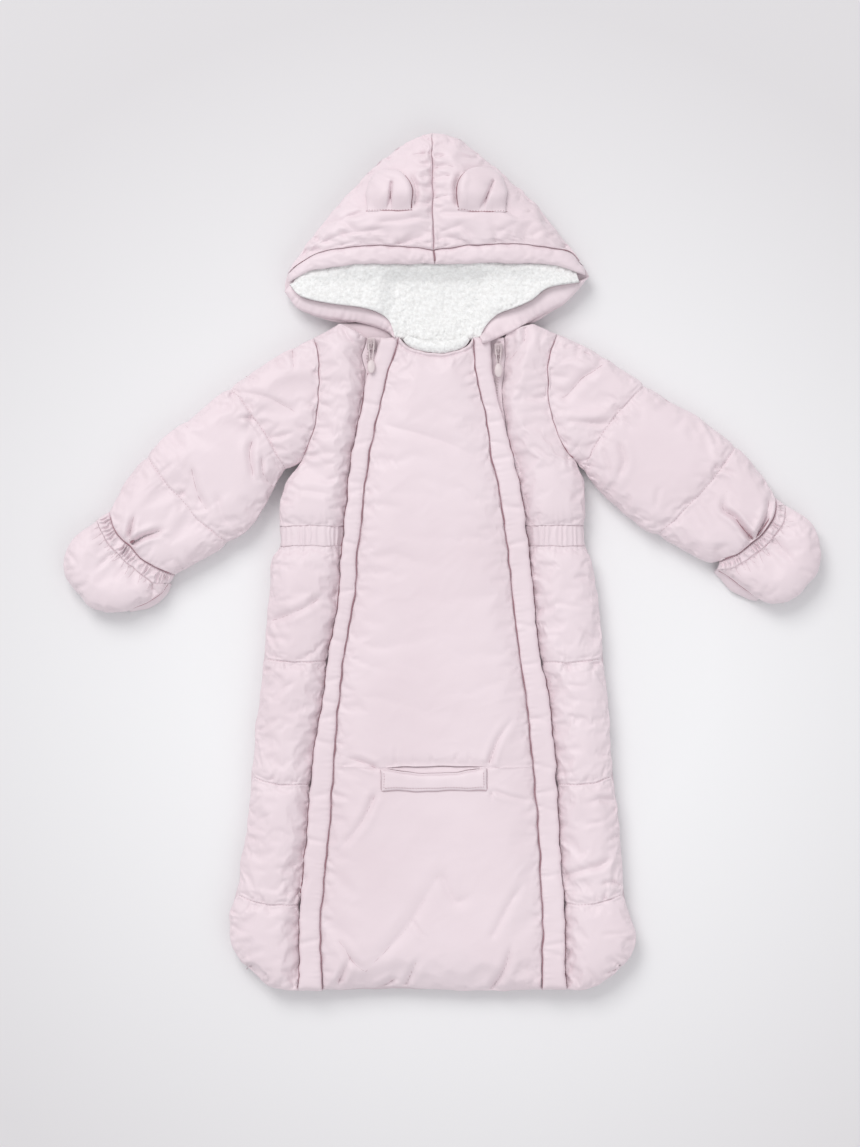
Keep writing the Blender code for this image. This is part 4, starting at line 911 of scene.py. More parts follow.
def make_centre_face():
    upper, lower = slot_lips()
    across = near_ends(fours(CENTRE_WIDE, FINE))
    ends = [(guard_inner[side](SLOT["y"]), SLOT["y"]) for side in SIDES]
    lips = [spaced(np.vstack([ends[0], lip, ends[1]]), across) for lip in (upper, lower)]
    lips[0][:, 1] += 0.1
    lips[1][:, 1] -= 0.1
    neck_ends, foot_ends = ([(guard_inner[side](y), y) for side in SIDES] for y in (ZIP_TOP, FOOT))
    neckline = spaced(spline([neck_ends[0], *NECKLINE[1:-1], neck_ends[1]]), across)
    foot = spaced(spline([foot_ends[0], *CENTRE_FOOT, foot_ends[1]]), across)
    rows = near_ends(fours(ZIP_TOP - SLOT["y"], FINE))
    rows_below = near_ends(fours(SLOT["y"] - FOOT, FINE) - 2)
    above, below = ([guard_seam(side, start + (end - start) * shares) for side in SIDES]
                    for start, end, shares in ((ZIP_TOP, SLOT["y"], rows), (SLOT["y"], FOOT, rows_below)))
    top, low = patch(neckline, lips[0], *above), patch(lips[1], foot, *below)
    pocket = [lips[0] + (lips[1] - lips[0]) * share for share in POCKET_ROWS]
    plan = facing_up(inset(shifted(np.concatenate([top, np.array(pocket), low]))))
    height = front_ground(plan) + PUFF * rise(from_rim(plan), CENTRE_REACH)
    add_face("front_centre", plan, height, calm=True)
    faces["front_centre"]["pocket"] = range(len(top), len(top) + len(pocket))


def sleeve_shares():
    """Shares along a sleeve, and the rows of its quilting lines."""
    stops = (0, *SLEEVE_QUILTS, 1.0)
    return between(stops, SLEEVE_LONG * np.diff(stops))


def make_sleeve_faces():
    for side in SIDES:
        shares, held = sleeve_shares()
        stations = np.array(SLEEVE_STATIONS[side], float)
        top = spaced(spline(SLEEVE_TOP[side]), np.interp(shares, stations[:, 0], stations[:, 1]))
        low = spaced(spline(SLEEVE_UNDER[side]), np.interp(shares, stations[:, 0], stations[:, 2]))
        columns = near_ends(fours(SLEEVE_WIDE, FINE))
        armhole, cuff = spaced(spline(ARMHOLE[side]), columns), spaced(spline(CUFF_INNER[side]), columns)
        top[0], low[0], top[-1], low[-1] = armhole[0], armhole[-1], cuff[0], cuff[-1]
        plan = patch(armhole, cuff, top, low)
        add_padded(f"sleeve_{side}", plan, lambda p: tube_ground(p, SLEEVE_LIFT, SLEEVE_LIFT_REACH),
                   PUFF, SLEEVE_REACH, held)

        start, end = spline(CUFF_OUTER[side]), spline(MITTEN_END[side])
        plan = tube_plan(start, end, spline(MITTEN_TOP[side]), spline(MITTEN_UNDER[side]),
                         near_ends(fours(MITTEN_LONG, FINE)), near_ends(fours(MITTEN_WIDE, FINE)))
        add_padded(f"mitten_{side}", plan, lambda p: tube_ground(p, MITTEN_LIFT, MITTEN_LIFT_REACH, p[-1]),
                   MITTEN_PUFF, MITTEN_REACH, soft=(0,), dip=0.65)


def tube_ground(plan, lift, reach, *ends):
    """Height of a flat tube's face at its seams, which rises between its two long edges."""
    return TUBE_SEAM + lift * rise(from_sides(plan, *ends), reach)


def hood_split(side):
    fold = spline(HOOD_FOLD[side])
    tip = spaced(fold, HOOD_SHOULDER_SHARE * near_ends(fours(HOOD_WIDE, HOOD_FINE)))
    rest = HOOD_SHOULDER_SHARE + (1 - HOOD_SHOULDER_SHARE) * np.linspace(0, 1, 80)
    return tip[::-1], spaced(fold, rest)


def centre_seam(y_from, y_to, shares):
    rows = y_from + (y_to - y_from) * np.asarray(shares)
    return np.column_stack([np.interp(rows, *zip(*HOOD_CENTRE)), rows])


def make_hood_faces():
    for side in SIDES:
        tip, fold = hood_split(side)
        brim = spline(BRIM_SEAM[side])
        stop = np.argmin(np.linalg.norm(fold - brim[0], axis=1)) + 1
        rows = near_ends(fours(HOOD_TALL, HOOD_FINE))
        across = near_ends(fours(HOOD_WIDE, HOOD_FINE))
        middle = centre_seam(tip[-1, 1], brim[-1, 1], rows)
        outer = spaced(np.vstack([fold[:stop - 1], brim[0]]), rows)
        head, foot = spaced(tip, across), spaced(brim, across)
        head[-1], foot[-1] = middle[0], middle[-1]
        plan = patch(head, foot, outer, middle)
        add_padded(f"hood_front_{side}", plan, hood_ground, HOOD_PUFF, HOOD_PUFF_REACH)

        across = near_ends(fours(BRIM_WIDE, FINE))
        head, foot = spaced(brim, across), spaced(spline(BRIM_EDGE[side]), across)
        plan = patch(head, foot, *(np.linspace(head[end], foot[end], 9) for end in (0, -1)))
        add_padded(f"hood_brim_{side}", plan, lambda p: hood_ground(p) - BRIM_SINK,
                   BRIM_PUFF, BRIM_REACH, calm=True)


# ---- cloth simulation

GROWTH = -0.024         # the cloth is cut this much larger than the run between its seams
CALM_GROWTH = -0.006    # the same for a taut face
PRESSURE = 2.2
FRAMES = 18
CAP = 3.5               # the most that a point may move


def swollen():
    """Swells every padded face between its held seams, as one simulation, and caps how far points move."""
    starts = {name: face["points"].reshape(-1, 3) for name, face in faces.items()}
    points = np.vstack(list(starts.values()))
    quads, held, calm, first = [], [], [], 0
    for name, face in faces.items():
        rows, columns = face["pinned"].shape
        index = first + np.arange(rows * columns).reshape(rows, columns)
        quads += quads_of(index)
        held += list(index[face["pinned"]])
        calm += list(index.ravel()) if face["calm"] else []
        first += rows * columns
    cloth_object = placed("swelling", mesh_of("swelling", points, quads))
    for group, members in (("held", held), ("calm", calm)):
        cloth_object.vertex_groups.new(name=group).add([int(k) for k in members], 1.0, "REPLACE")
    cloth = cloth_object.modifiers.new("cloth", "CLOTH")
    settings = cloth.settings
    settings.quality = 5
    settings.mass = 0.15
    settings.tension_stiffness = settings.compression_stiffness = 25
    settings.shear_stiffness = 8
    settings.bending_stiffness = 2.5
    settings.use_pressure = True
    settings.uniform_pressure_force = PRESSURE
    settings.shrink_min, settings.shrink_max = GROWTH, CALM_GROWTH
    settings.vertex_group_shrink = "calm"
    settings.vertex_group_mass = "held"
    settings.effector_weights.gravity = 0
    cloth.point_cache.frame_start, cloth.point_cache.frame_end = 1, FRAMES
    scene = bpy.context.scene
    for step in range(1, FRAMES + 1):
        scene.frame_set(step)
    evaluated = cloth_object.evaluated_get(bpy.context.evaluated_depsgraph_get())
    moved = np.empty(len(points) * 3)
    evaluated.data.vertices.foreach_get("co", moved)
    moved = moved.reshape(-1, 3) / MM - points
    bpy.data.objects.remove(cloth_object)
    scene.frame_set(1)
    far = np.linalg.norm(moved, axis=1, keepdims=True)
    moved *= CAP * np.tanh(far / CAP) / np.maximum(far, 1e-6)
    first = 0
    for name, face in faces.items():
        count = face["pinned"].size
        shift = moved[first:first + count].reshape(face["points"].shape)
        face["points"] = face["points"] + shift
        first += count


def quads_of(index):
    corners = [index[:-1, :-1], index[1:, :-1], index[1:, 1:], index[:-1, 1:]]
    return [tuple(int(k) for k in quad) for quad in np.stack(corners, axis=-1).reshape(-1, 4)]


def tube_faces(index):
    """Faces of a closed tube, from the numbers of its points ring by ring."""
    ends = [tuple(int(k) for k in ring) for ring in (index[0], index[-1][::-1])]
    return quads_of(np.hstack([index, index[:, :1]])) + ends


# ---- objects

SEWN = "sewn_"          # the finished piece has its node's name after this
trees = {}


def mesh_of(name, points, polygons):
    """A mesh whose points come in millimetres."""
    mesh = bpy.data.meshes.new(name)
    mesh.from_pydata([tuple(p) for p in np.asarray(points) * MM], [], polygons)
    return mesh


def placed(name, data):
    """A new object in the scene."""
    thing = bpy.data.objects.new(name, data)
    bpy.context.scene.collection.objects.link(thing)
    return thing


def add_mesh(name, points, polygons, material, smooth=True):
    mesh = mesh_of(name, points, polygons)
    mesh.materials.append(material)
    if smooth:
        mesh.shade_smooth()
    piece = placed(name, mesh)
    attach(piece, BODY)
    return piece


def closed(name, top, low, material):
    """A closed piece between a fine grid above and a coarser one below it with the same outline."""
    rows, columns = top.shape[:2]
    step = (rows - 1) // (low.shape[0] - 1)
    top_index = np.arange(rows * columns).reshape(rows, columns)
    low_index = rows * columns + np.arange(low.shape[0] * low.shape[1]).reshape(low.shape[:2])
    polygons = quads_of(top_index) + [quad[::-1] for quad in quads_of(low_index)]
    over = rim(top_index[..., None])[:-1, 0]
    under = rim(low_index[..., None])[:-1, 0]
    for k in range(len(under)):
        following = (k + 1) % len(under)
        edge = [int(over[(k * step + j) % len(over)]) for j in range(step + 1)]
        polygons.append((*edge, int(under[following]), int(under[k])))
    points = np.vstack([top.reshape(-1, 3), low.reshape(-1, 3)])
    trees[name] = BVHTree.FromPolygons([tuple(p) for p in top.reshape(-1, 3)], quads_of(top_index))
    return add_mesh(SEWN + name, points, polygons, material)


def shell(name, plan, height, under, material, relief):
    """A closed piece from a plan grid: its face refined, its underside as coarse as the plan."""
    grid = refined(np.dstack([plan, height]))
    grid[..., 2] += relief(grid[..., :2])
    return closed(name, grid, with_height(plan, under), material)


def with_height(plan, height):
    return np.dstack([plan, np.broadcast_to(height, plan.shape[:2])])


def stand_for(piece, slot):
    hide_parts(piece.name[len(SEWN):])
    return piece


ABOVE = 200             # height above every piece


def lies_on(plan, names, reach=0.0):
    """Height of the pieces under a grid."""
    heights = np.zeros(plan.shape[:-1])
    around = [(0, 0)]
    if reach:
        around += [(reach * math.cos(a), reach * math.sin(a)) for a in np.arange(4) * math.pi / 2]
    for at in np.ndindex(heights.shape):
        x, y = plan[at][:2]
        for dx, dy in around:
            for name in names:
                hit = trees[name].ray_cast(Vector((x + dx, y + dy, ABOVE)), Vector((0, 0, -1)))[0]
                if hit:
                    heights[at] = max(heights[at], hit.z)
    return heights


def evened(heights, rounds=6):
    smooth = heights.copy()
    for _ in range(rounds):
        padded = np.pad(smooth, 1, mode="edge")
        around = padded[:-2, 1:-1] + padded[2:, 1:-1] + padded[1:-1, :-2] + padded[1:-1, 2:]
        smooth = (around + 2 * smooth) / 6
    return smooth


# pitch, depth and reach of the puckers along seams and quilting lines, and of gathered folds

SEAM_PUCKERS = (6.5, 0.45, 7.0)
QUILT_PUCKERS = (6.5, 0.45, 9.0)
GATHERS = (6.2, 1.1, 10.0)
MITTEN_GATHERS = (6.6, 2.5, 13.0)

# spacing, greatest length and greatest depth of the stray creases along seams and quilting lines

SIDE_STRAY = (9, 30, 1.7)
CENTRE_STRAY = (8, 20, 1.1)
SLEEVE_STRAY = (9, 26, 1.7)


def finished(name, seed, stray, seam=SEAM_PUCKERS, gather=GATHERS, rumple=0.35):
    """The fine face of a padded piece: swollen, then puckered at its seams and creased."""
    face = faces[name]
    grid = refined(face["points"])
    plan = grid[..., :2]
    held = [2 * row for row in face["held"]]
    soft = face["soft"]
    hard = [plan[:, 0], plan[:, -1]] + [plan[row] for row in (0, -1) if row not in soft]
    relief = rumple * crumpled(plan, seed) - creased(plan)
    starts = [line[::2] for line in hard] + [plan[row, ::2] for row in held]
    relief -= creased(plan, stray_creases(plan, starts, seed + 5, *stray))
    fade = np.ones(plan.shape[:2])
    for k, line in enumerate(hard):
        relief += puckers(plan, line[::2], *seam, seed + 10 * k)
        fade = np.minimum(fade, smooth_step(away(plan, line[::2]) / 2.5))
    for k, row in enumerate(held):
        relief += puckers(plan, plan[row, ::2], *QUILT_PUCKERS, seed + 40 + 10 * k)
        fade = np.minimum(fade, smooth_step(away(plan, plan[row, ::2]) / 1.6))
    for row in soft:
        relief += gathered(plan, plan[row, ::2], *gather, seed + 70)
        fade = np.minimum(fade, 0.4 + 0.6 * smooth_step(away(plan, plan[row, ::2])))
    grid[..., 2] += relief * fade
    return grid


def add_body(cloth):
    sides = [f"{name}_{side}" for name in ("front_upper", "front_lower") for side in SIDES]
    for k, name in enumerate((*sides, "front_centre")):
        grid = finished(name, 100 + 20 * k, CENTRE_STRAY if name == "front_centre" else SIDE_STRAY)
        if name == "front_centre":
            sink_pocket(grid, faces[name]["pocket"])
            bound_neckline(grid)
        low = grid[::4, ::4].copy()
        low[..., 2] = FRONT_UNDER
        stand_for(closed(name, grid, low, cloth), "quilted_cloth")


def sink_pocket(grid, pocket):
    """Pushes the rows between the slot's lips down to the facing."""
    for row in range(2 * pocket[0], 2 * pocket[-1] + 1):
        x = grid[row, :, 0]
        share = np.clip((x - SLOT["left"]) / (SLOT["right"] - SLOT["left"]), 0, 1)
        grid[row, :, 2] -= POCKET_DEPTH * smooth_step(1.6 * np.sin(np.pi * share))


def bound_neckline(grid):
    """A narrow turned edge along the neckline, with its topstitching."""
    gap = away(grid[:40, :, :2], grid[0, ::2, :2])
    grid[:40, :, 2] += 2.4 * np.exp(-((gap - 1.6) / 1.7) ** 2) - 1.3 * np.exp(-((gap - 4.2) / 0.9) ** 2)


def add_sleeves(cloth):
    for k, name in enumerate(("sleeve_left", "sleeve_right", "mitten_left", "mitten_right")):
        mitten = name.startswith("mitten")
        grid = finished(name, 300 + 20 * k, SLEEVE_STRAY, gather=MITTEN_GATHERS)
        low = grid[::2, ::2].copy()
        lines = [low[:, 0, :2], low[:, -1, :2]] + ([low[-1, :, :2], low[0, :, :2]] if mitten else [])
        low[..., 2] = TUBE_UNDER * (1 - rise(from_nearest(low[..., :2], *lines), TUBE_ROUND))
        stand_for(closed(name, grid, low, cloth), "quilted_cloth")


def add_back(cloth):
    """The back panel, flat where it rests, with the front's quilting lines across it."""
    rows = np.linspace(UNDERARM, HEM_CORNER, 120)
    edges = [np.vstack([spline(ARMHOLE[side]), seam_line(side, rows)[1:]]) for side in SIDES]
    neck = np.array((SHOULDER["left"][::-1] + SHOULDER["right"]), float)
    foot = np.vstack([hem("left"), hem("right")[-2::-1]])
    plan = tube_plan(neck, foot, *edges, even(fours(BAG_LONG, 4)), near_ends(fours(BAG_WIDE, 4)))
    plan = facing_up(shifted(plan))
    gap = from_edge(plan)
    low = BACK_UNDER * (1 - rise(gap, EDGE_ROUND))
    for left, right in QUILT_LINES:
        line = np.array([(side_line["left"](right), right), (0, left), (side_line["right"](right), right)])
        low += BACK_QUILT * trough(away(plan, line), 6)
    piece = closed("back", with_height(plan, BACK_TOP), np.dstack([plan, low]), cloth)
    stand_for(piece, "quilted_cloth")


# ---- pieces with their own shapes

HOOD_TOP = (
    # piece, its slot, rise of its underside, its stray creases, its puckers
    ("hood_front", "quilted_cloth", 0, (9, 30, 1.9), (9.0, 0.6, 10.0)),
    ("hood_brim", "trim_cloth", 0.6, (9, 10, 1.1), (7.0, 0.3, 10.0)),
)


def add_hood(cloth):
    for k, side in enumerate(SIDES):
        for j, (kind, slot, gap, stray, seam) in enumerate(HOOD_TOP):
            name = f"{kind}_{side}"
            grid = finished(name, 500 + 40 * k + 20 * j, stray, seam, rumple=0.5)
            low = grid[::2, ::2].copy()
            low[..., 2] = UNDER + gap + hood_arch(low[..., :2])
            stand_for(closed(name, grid, low, cloth), slot)
        add_hood_back(side, cloth)


def add_hood_back(side, cloth):
    tip, fold = hood_split(side)
    rows = near_ends(fours(HOOD_BACK_TALL, COARSE))
    across = near_ends(fours(HOOD_BACK_WIDE, COARSE))
    outer = spaced(fold, rows)
    middle = centre_seam(tip[-1, 1], NECK + SEAM_GAP, rows)
    foot_line = np.vstack([spline(HOOD_FOOT[side]), middle[-1]])
    foot_line[-2, 1] = NECK + SEAM_GAP
    head, foot = spaced(tip, across), spaced(foot_line, across)
    head[-1] = middle[0]
    plan = facing_up(inset(shifted(patch(head, foot, outer, middle))))
    edge = from_nearest(plan, FOLD_LINE, spline(HOOD_FOOT[side]))
    under = EDGE_UNDER * (1 - rise(edge, EDGE_ROUND)) + 1.8 * trough(away(plan, middle[::6]), 5)
    piece = closed(f"hood_back_{side}", with_height(plan, BACK_TOP), np.dstack([plan, under]), cloth)
    stand_for(piece, "quilted_cloth")


WAIST_MIDDLE = (WAIST_TOP + WAIST_FOOT) / 2
WAIST_HALF = (WAIST_TOP - WAIST_FOOT) / 2
WAIST_PITCH = 5.2
WAIST_DEPTH = 0.65


def waist_gathers(points):
    run = points[..., 0] + 220
    phase = fold_phase(points, run, WAIST_PITCH, (0.75, 13, 61), (0.16, 9, 62))
    across = np.abs(points[..., 1] - WAIST_MIDDLE) / WAIST_HALF
    strength = uneven(run, 9, 63, 0.9, 0.6, 0.3, 1.4) * (1 - 0.35 * across ** 3)
    ridge = 1 - 2 * np.abs(np.sin(np.pi * phase)) ** 1.3
    return WAIST_DEPTH * strength * ridge * rise(from_edge(points), 9)


def add_waist(side, cloth):
    rows = np.linspace(WAIST_TOP, WAIST_FOOT, 9)
    plan = ladder(seam_line(side, rows), zip_edge(side, rows), even(fours(60, 1.3)))
    plan = inset(shifted(facing_up(plan)), 0.1)
    middle = 1 - ((plan[..., 1] - WAIST_MIDDLE) / WAIST_HALF) ** 2
    ends = from_sides(plan)
    height = side_ground(side)(plan) + PUFF * (1 - DIP) * rise(ends, PUFF_REACH) - 0.3
    height += 0.6 * np.clip(middle, 0, 1) ** 0.5
    piece = shell(f"waist_elastic_{side}", plan, height, FRONT_UNDER, cloth, waist_gathers)
    stand_for(piece, "quilted_cloth")


# ---- zips and their guards

ZIP_UNDER = 17.4
TAPE = 1.6
TOOTH = 1.25            # from one tooth to the next on both sides of the chain
TEETH_RUN = (4, 100)    # the stretch of the chain, from its top, that has teeth
COIL_INSIDE = 6.0       # middle of the coil to the side front's edge
COIL_HEIGHT = 0.9
COIL_WIDTH = 3.2
GUARD_THICK = 7.8
GUARD_EDGE = 4.2


def zip_under(plan):
    return np.minimum(ZIP_UNDER, UNDER + 4 * rise(from_edge(plan), 16))


def add_zip(side, tape, metal):
    rows = np.linspace(ZIP_TOP, FOOT, fours(BAG_LONG, 5) + 1)
    inner, outer = guard_seam(side, rows), zip_edge(side, rows)
    plan = inset(shifted(facing_up(ladder(inner, outer, even(8)))))
    under = zip_under(plan)
    coil_line = outer - np.array([OUTWARD[side] * COIL_INSIDE, 0])

    def relief(points):
        return COIL_HEIGHT * trough(away(points, coil_line), COIL_WIDTH) + 0.25 * noise(points, 9, 71)

    piece = stand_for(shell(f"zip_{side}", plan, under + TAPE, under, tape, relief), "trim_cloth")
    add_teeth(side, coil_line, metal)


def prism(first, sides):
    """Faces of a closed prism of four rings, whose points are numbered from first."""
    polygons = []
    for a in range(first, first + 3 * sides, sides):
        polygons += [(a + j, a + (j + 1) % sides, a + sides + (j + 1) % sides, a + sides + j)
                     for j in range(sides)]
    ring = range(first, first + sides)
    return polygons + [tuple(ring)[::-1], tuple(k + 3 * sides for k in ring)]


def add_teeth(side, line, material):
    """Both rows of the chain's teeth, where the guard leaves them in sight."""
    line = shifted(line)
    spots = spaced(line, np.arange(*TEETH_RUN, TOOTH) / length_of(line))
    points, polygons = [], []
    profile = [(-0.3, 0.0), (-0.42, 0.75), (0.42, 0.75), (0.3, 0.0)]
    for k, (spot, along) in enumerate(zip(spots, headings(spots))):
        out = (1 if k % 2 else -1) * np.array([along[1], -along[0]])
        base = zip_under(spot[None])[0] + TAPE + 0.55
        polygons += prism(len(points), 4)
        for reach, grow in ((-0.5, 0.75), (0.5, 1.0), (1.7, 0.95), (2.1, 0.6)):
            for step, height in profile:
                place = spot + out * reach + along * step * grow
                points.append((*place, base + height * (0.8 + 0.4 * grow)))
    add_mesh(f"zip_teeth_{side}", points, polygons, material, False)


GUARD_OPEN = {"left": 196, "right": 150}    # y below which the guard's free edge covers the zip
BESIDE_GUARD = ("zip", "front_upper", "front_lower", "waist_elastic")


def guard_rim(side, rows):
    """The guard's free edge, which wanders and covers the zip from GUARD_OPEN down."""
    wander = np.column_stack([rows, np.zeros(len(rows))])
    outer = guard_outer[side](rows)
    outer = outer - OUTWARD[side] * (0.6 - 0.8 * noise(wander, 15, 81) - 0.45 * noise(wander, 6, 82))
    covering = smooth_step((GUARD_OPEN[side] - rows) / 30)
    return outer + OUTWARD[side] * (valley[side](rows) + 0.9) * covering


def add_guard(side, cloth):
    rows = np.linspace(ZIP_TOP, FOOT, fours(BAG_LONG, FINE) + 1)
    seam, free = guard_seam(side, rows), np.column_stack([guard_rim(side, rows), rows])
    plan = inset(shifted(facing_up(ladder(seam, free, near_ends(12)))))
    under = lies_on(plan, named(side, *BESIDE_GUARD))
    under = evened(evened(under, 3).max(1, keepdims=True), 10) + 0.15
    share = even(12) if away(plan[:, -1], free).mean() < 4 else even(12)[::-1]
    flat = zip_under(plan[:, 6:7]) + TAPE + 1.0
    under = np.maximum(flat + (under - flat) * smooth_step(1.6 * share)[None], flat)
    edge = from_rim(plan)
    thick = GUARD_EDGE + (GUARD_THICK - GUARD_EDGE) * rise(edge, 5)
    thick *= 1 - 0.35 * (1 - rise(from_edge(plan), 20))

    def relief(points):
        fold = np.zeros(points.shape[:2])
        for j, y in enumerate(GUARD_FOLDS[side]):
            tilt = 0.22 * (points[..., 0] - seam[:, 0].mean()) * (1 if j % 2 else -1)
            fold += 1.1 * np.exp(-((points[..., 1] - y - tilt) / 2.6) ** 2)
        sewn = puckers(points, seam[::3], 5.5, 0.65, 7.0, 83)
        loose = 0.5 * puckers(points, free[::3], 13, 0.8, 8.0, 86)
        return rim_fade(points) * (sewn + loose - fold + 0.5 * noise(points, 17, 88) - creased(points))

    stand_for(shell(f"guard_{side}", plan, under + thick, under, cloth, relief), "quilted_cloth")


# ---- cuffs and gussets

CUFF_PITCH = 4.6
CUFF_DEPTH = 2.2        # of the gathers on top
CUFF_DEPTH_UNDER = 0.6


def add_cuff(side, trim):
    """The gathered casing at the wrist: uneven beads of cloth between two stitched lines."""
    columns = even(fours(130, 1.0))
    near, far = (spaced(spline(line[side]), columns) for line in (CUFF_INNER, CUFF_OUTER))
    plan = near[None] + (far - near)[None] * even(8)[:, None, None]
    plan = facing_up(inset(shifted(plan), 0.1))
    gap = from_sides(plan)
    to_sleeve, to_mitten = (np.clip(away(plan, plan[row]) / 4, 0, 1) for row in (0, -1))
    top = MITTEN_LIFT * rise(gap, MITTEN_LIFT_REACH)
    top += MITTEN_PUFF * SEAM_RISE * rise(gap, MITTEN_REACH)
    height = TUBE_SEAM + top + 1.4 * np.sqrt(to_sleeve * to_mitten) - 2.2 * (1 - np.sqrt(to_sleeve))
    line = plan[4]

    def gathers(points, depth):
        _, run = beside(points, line)
        phase = fold_phase(points, run, CUFF_PITCH, (0.9, 11, 91), (0.35, 7, 94))
        strength = uneven(run, 7, 92, 0.9, 0.8, 0.25, 1.5)
        middle = np.clip(from_nearest(points, points[0], points[-1]) / 4, 0.3, 1)
        ridge = 1 - 2 * np.abs(np.sin(np.pi * phase)) ** 0.8
        sides = from_sides(points)
        return depth * strength * middle * ridge * rise(sides, 9)

    under = (EDGE_UNDER - 0.2) * (1 - rise(gap, EDGE_ROUND)) + 0.6
    under += gathers(plan, CUFF_DEPTH_UNDER)
    piece = shell(f"cuff_{side}", plan, height, under, trim, lambda p: gathers(p, CUFF_DEPTH))
    stand_for(piece, "trim_cloth")


GUSSET_WIDTH = {"left": 4.0, "right": 6.8}
GUSSET_STEPS = 25


def add_gusset(side, cloth):
    edge = spaced(spline(MITTEN_UNDER[side]), np.linspace(0.0, 0.68, GUSSET_STEPS))
    along = headings(edge)
    outward = np.column_stack([along[:, 1], -along[:, 0]]) * OUTWARD[side]
    width = GUSSET_WIDTH[side] * np.sin(np.pi * np.linspace(0.08, 0.94, GUSSET_STEPS))[:, None]
    strips = [edge + outward * (share * (0.7 + width) - 1.6 * (1 - share)) for share in even(4)]
    plan = facing_up(shifted(np.stack(strips, axis=1)))
    share = even(4) if away(plan[:, 0], edge).mean() < away(plan[:, -1], edge).mean() else even(4)[::-1]
    height = (11.6 - 6.4 * share ** 2)[None, :] + 0 * plan[..., 0]
    under = (1.6 * share ** 2)[None, :]
    piece = shell(f"gusset_{side}", plan, height, under, cloth, lambda p: 0.3 * noise(p, 6, 97))
    stand_for(piece, "quilted_cloth")


# ---- the hood's band, lining and ears

def add_band(side, trim):
    across = near_ends(fours(150, 2.4))
    inner, outer = spaced(spline(BAND_INNER[side]), across), spaced(spline(BAND_OUTER[side]), across)
    plan = facing_up(shifted(ladder(inner, outer, near_ends(8))))
    carried = named(side, "hood_back", "front_upper", "guard", "zip") + ["front_centre", "back"]
    under = evened(lies_on(plan, carried, 2), 5) + 0.2
    under[:4] = np.maximum(under[:4], BACK_TOP + 0.3)
    height = under + 3 + 5.5 * rise(from_rim(plan), 11)

    def relief(points):
        edge = puckers(points, spline(BAND_OUTER[side]), 7, 0.9, 10, 101)
        return rim_fade(points) * (edge + 0.5 * noise(points, 16, 103) - creased(points))

    stand_for(shell(f"hood_band_{side}", plan, height, under, trim, relief), "trim_cloth")


LINING_LONG, LINING_WIDE = 190, 250
LINING_DRAWN_IN = 9.0
LINING_LOW = (7, 207.5)         # its lowest place, in front of the neckline
LOBE_MIDDLE = 5         # x between the two lobes in the corners of the hood's mouth
LOBE_START = 40         # distance from there at which each begins
LOBE_FOOT = 232
LOBE_FADE = 14
HOOD_MIDDLE = np.array([0, 280.0])
CORNER_POINTS = 6
LINING_FOOT = {"left": (-31, 216.5), "right": (38, 216.5)}


def tufts(points, size, seed):
    """Round bumps on a jittered lattice, 1 at their tops and falling to narrow valleys."""
    generator = np.random.default_rng(seed)
    jitter = generator.uniform(0.1, 0.9, (LATTICE, LATTICE, 2))
    tall = generator.uniform(0.7, 1.1, (LATTICE, LATTICE))
    cell = np.floor(points / size).astype(int)
    best = np.zeros(points.shape[:-1])
    for i in (-1, 0, 1):
        for j in (-1, 0, 1):
            a, b = (cell[..., 0] + i) % LATTICE, (cell[..., 1] + j) % LATTICE
            centre = (cell + np.array([i, j]) + jitter[a, b]) * size
            gap = np.linalg.norm(points - centre, axis=-1) / (0.85 * size)
            best = np.maximum(best, tall[a, b] * np.sqrt(np.clip(1 - gap ** 2, 0, 1)))
    return best


def curls(points, seed, depth=1.0):
    """The pile of a knitted fleece: curly clumps of two sizes."""
    bent = points + np.stack([noise(points, 5, seed + k) for k in (0, 1)], axis=-1) * 1.1
    return depth * (1.9 * tufts(bent, 5.6, seed + 2) + 0.9 * tufts(bent, 2.9, seed + 3) - 1.6)


def add_lining(fleece):
    inner = {side: spline(BAND_INNER[side])[::-1] for side in SIDES}
    rows = near_ends(fours(LINING_LONG, FINE))
    left, right = (spaced(np.vstack([LINING_FOOT[side], inner[side]]), rows) for side in SIDES)
    left += np.array([-1.2, -1.2])
    right += np.array([1.2, -1.2])
    spokes = FOLD_LINE[CORNER_POINTS:-CORNER_POINTS] - HOOD_MIDDLE
    reach = np.linalg.norm(spokes, axis=1, keepdims=True)
    across = even(fours(LINING_WIDE, FINE))
    head = spaced(spline([left[0], LINING_LOW, right[0]]), across)
    arc = np.vstack([left[-1], HOOD_MIDDLE + spokes * (1 - LINING_DRAWN_IN / reach), right[-1]])
    plan = facing_up(patch(head, spaced(arc, across), left, right))
    bands = from_sides(plan)
    lobe = smooth_step((np.abs(plan[..., 0] - LOBE_MIDDLE) - LOBE_START) / LOBE_FADE)
    lobe = lobe * smooth_step((plan[..., 1] - LOBE_FOOT) / LOBE_FADE)
    edge = from_nearest(plan, *(spline(BRIM_EDGE[side]) for side in SIDES))
    beside_brim = np.exp(-(edge / 9) ** 2)
    ends = from_nearest(plan, plan[0], plan[-1])
    height = UNDER + 2 + 4.5 * rise(ends, 6) + 2.5 * np.exp(-(bands / 12) ** 2)
    height += 6.5 * lobe + 5 * beside_brim * (1 - lobe)
    height += (UNDER + hood_arch(plan) + 1.5 - height) * beside_brim
    over_it = [name for side in SIDES for name in named(side, "hood_brim", "hood_front")]
    brims = lies_on(plan, over_it)
    height = np.where(brims > 0, np.minimum(height, UNDER + hood_arch(plan) - 0.5), height)
    over = lies_on(plan, [f"hood_band_{side}" for side in SIDES])
    height = evened(np.where(over > 0, np.maximum(height, over + 1.2), height), 2)

    def relief(points):
        inside = smooth_step(0.3 + from_rim(points) / 3)
        return inside * (curls(points, 111) + noise(points, 26, 115))

    piece = stand_for(shell("hood_lining", plan, height, BACK_TOP + 0.3, fleece, relief), "fleece")


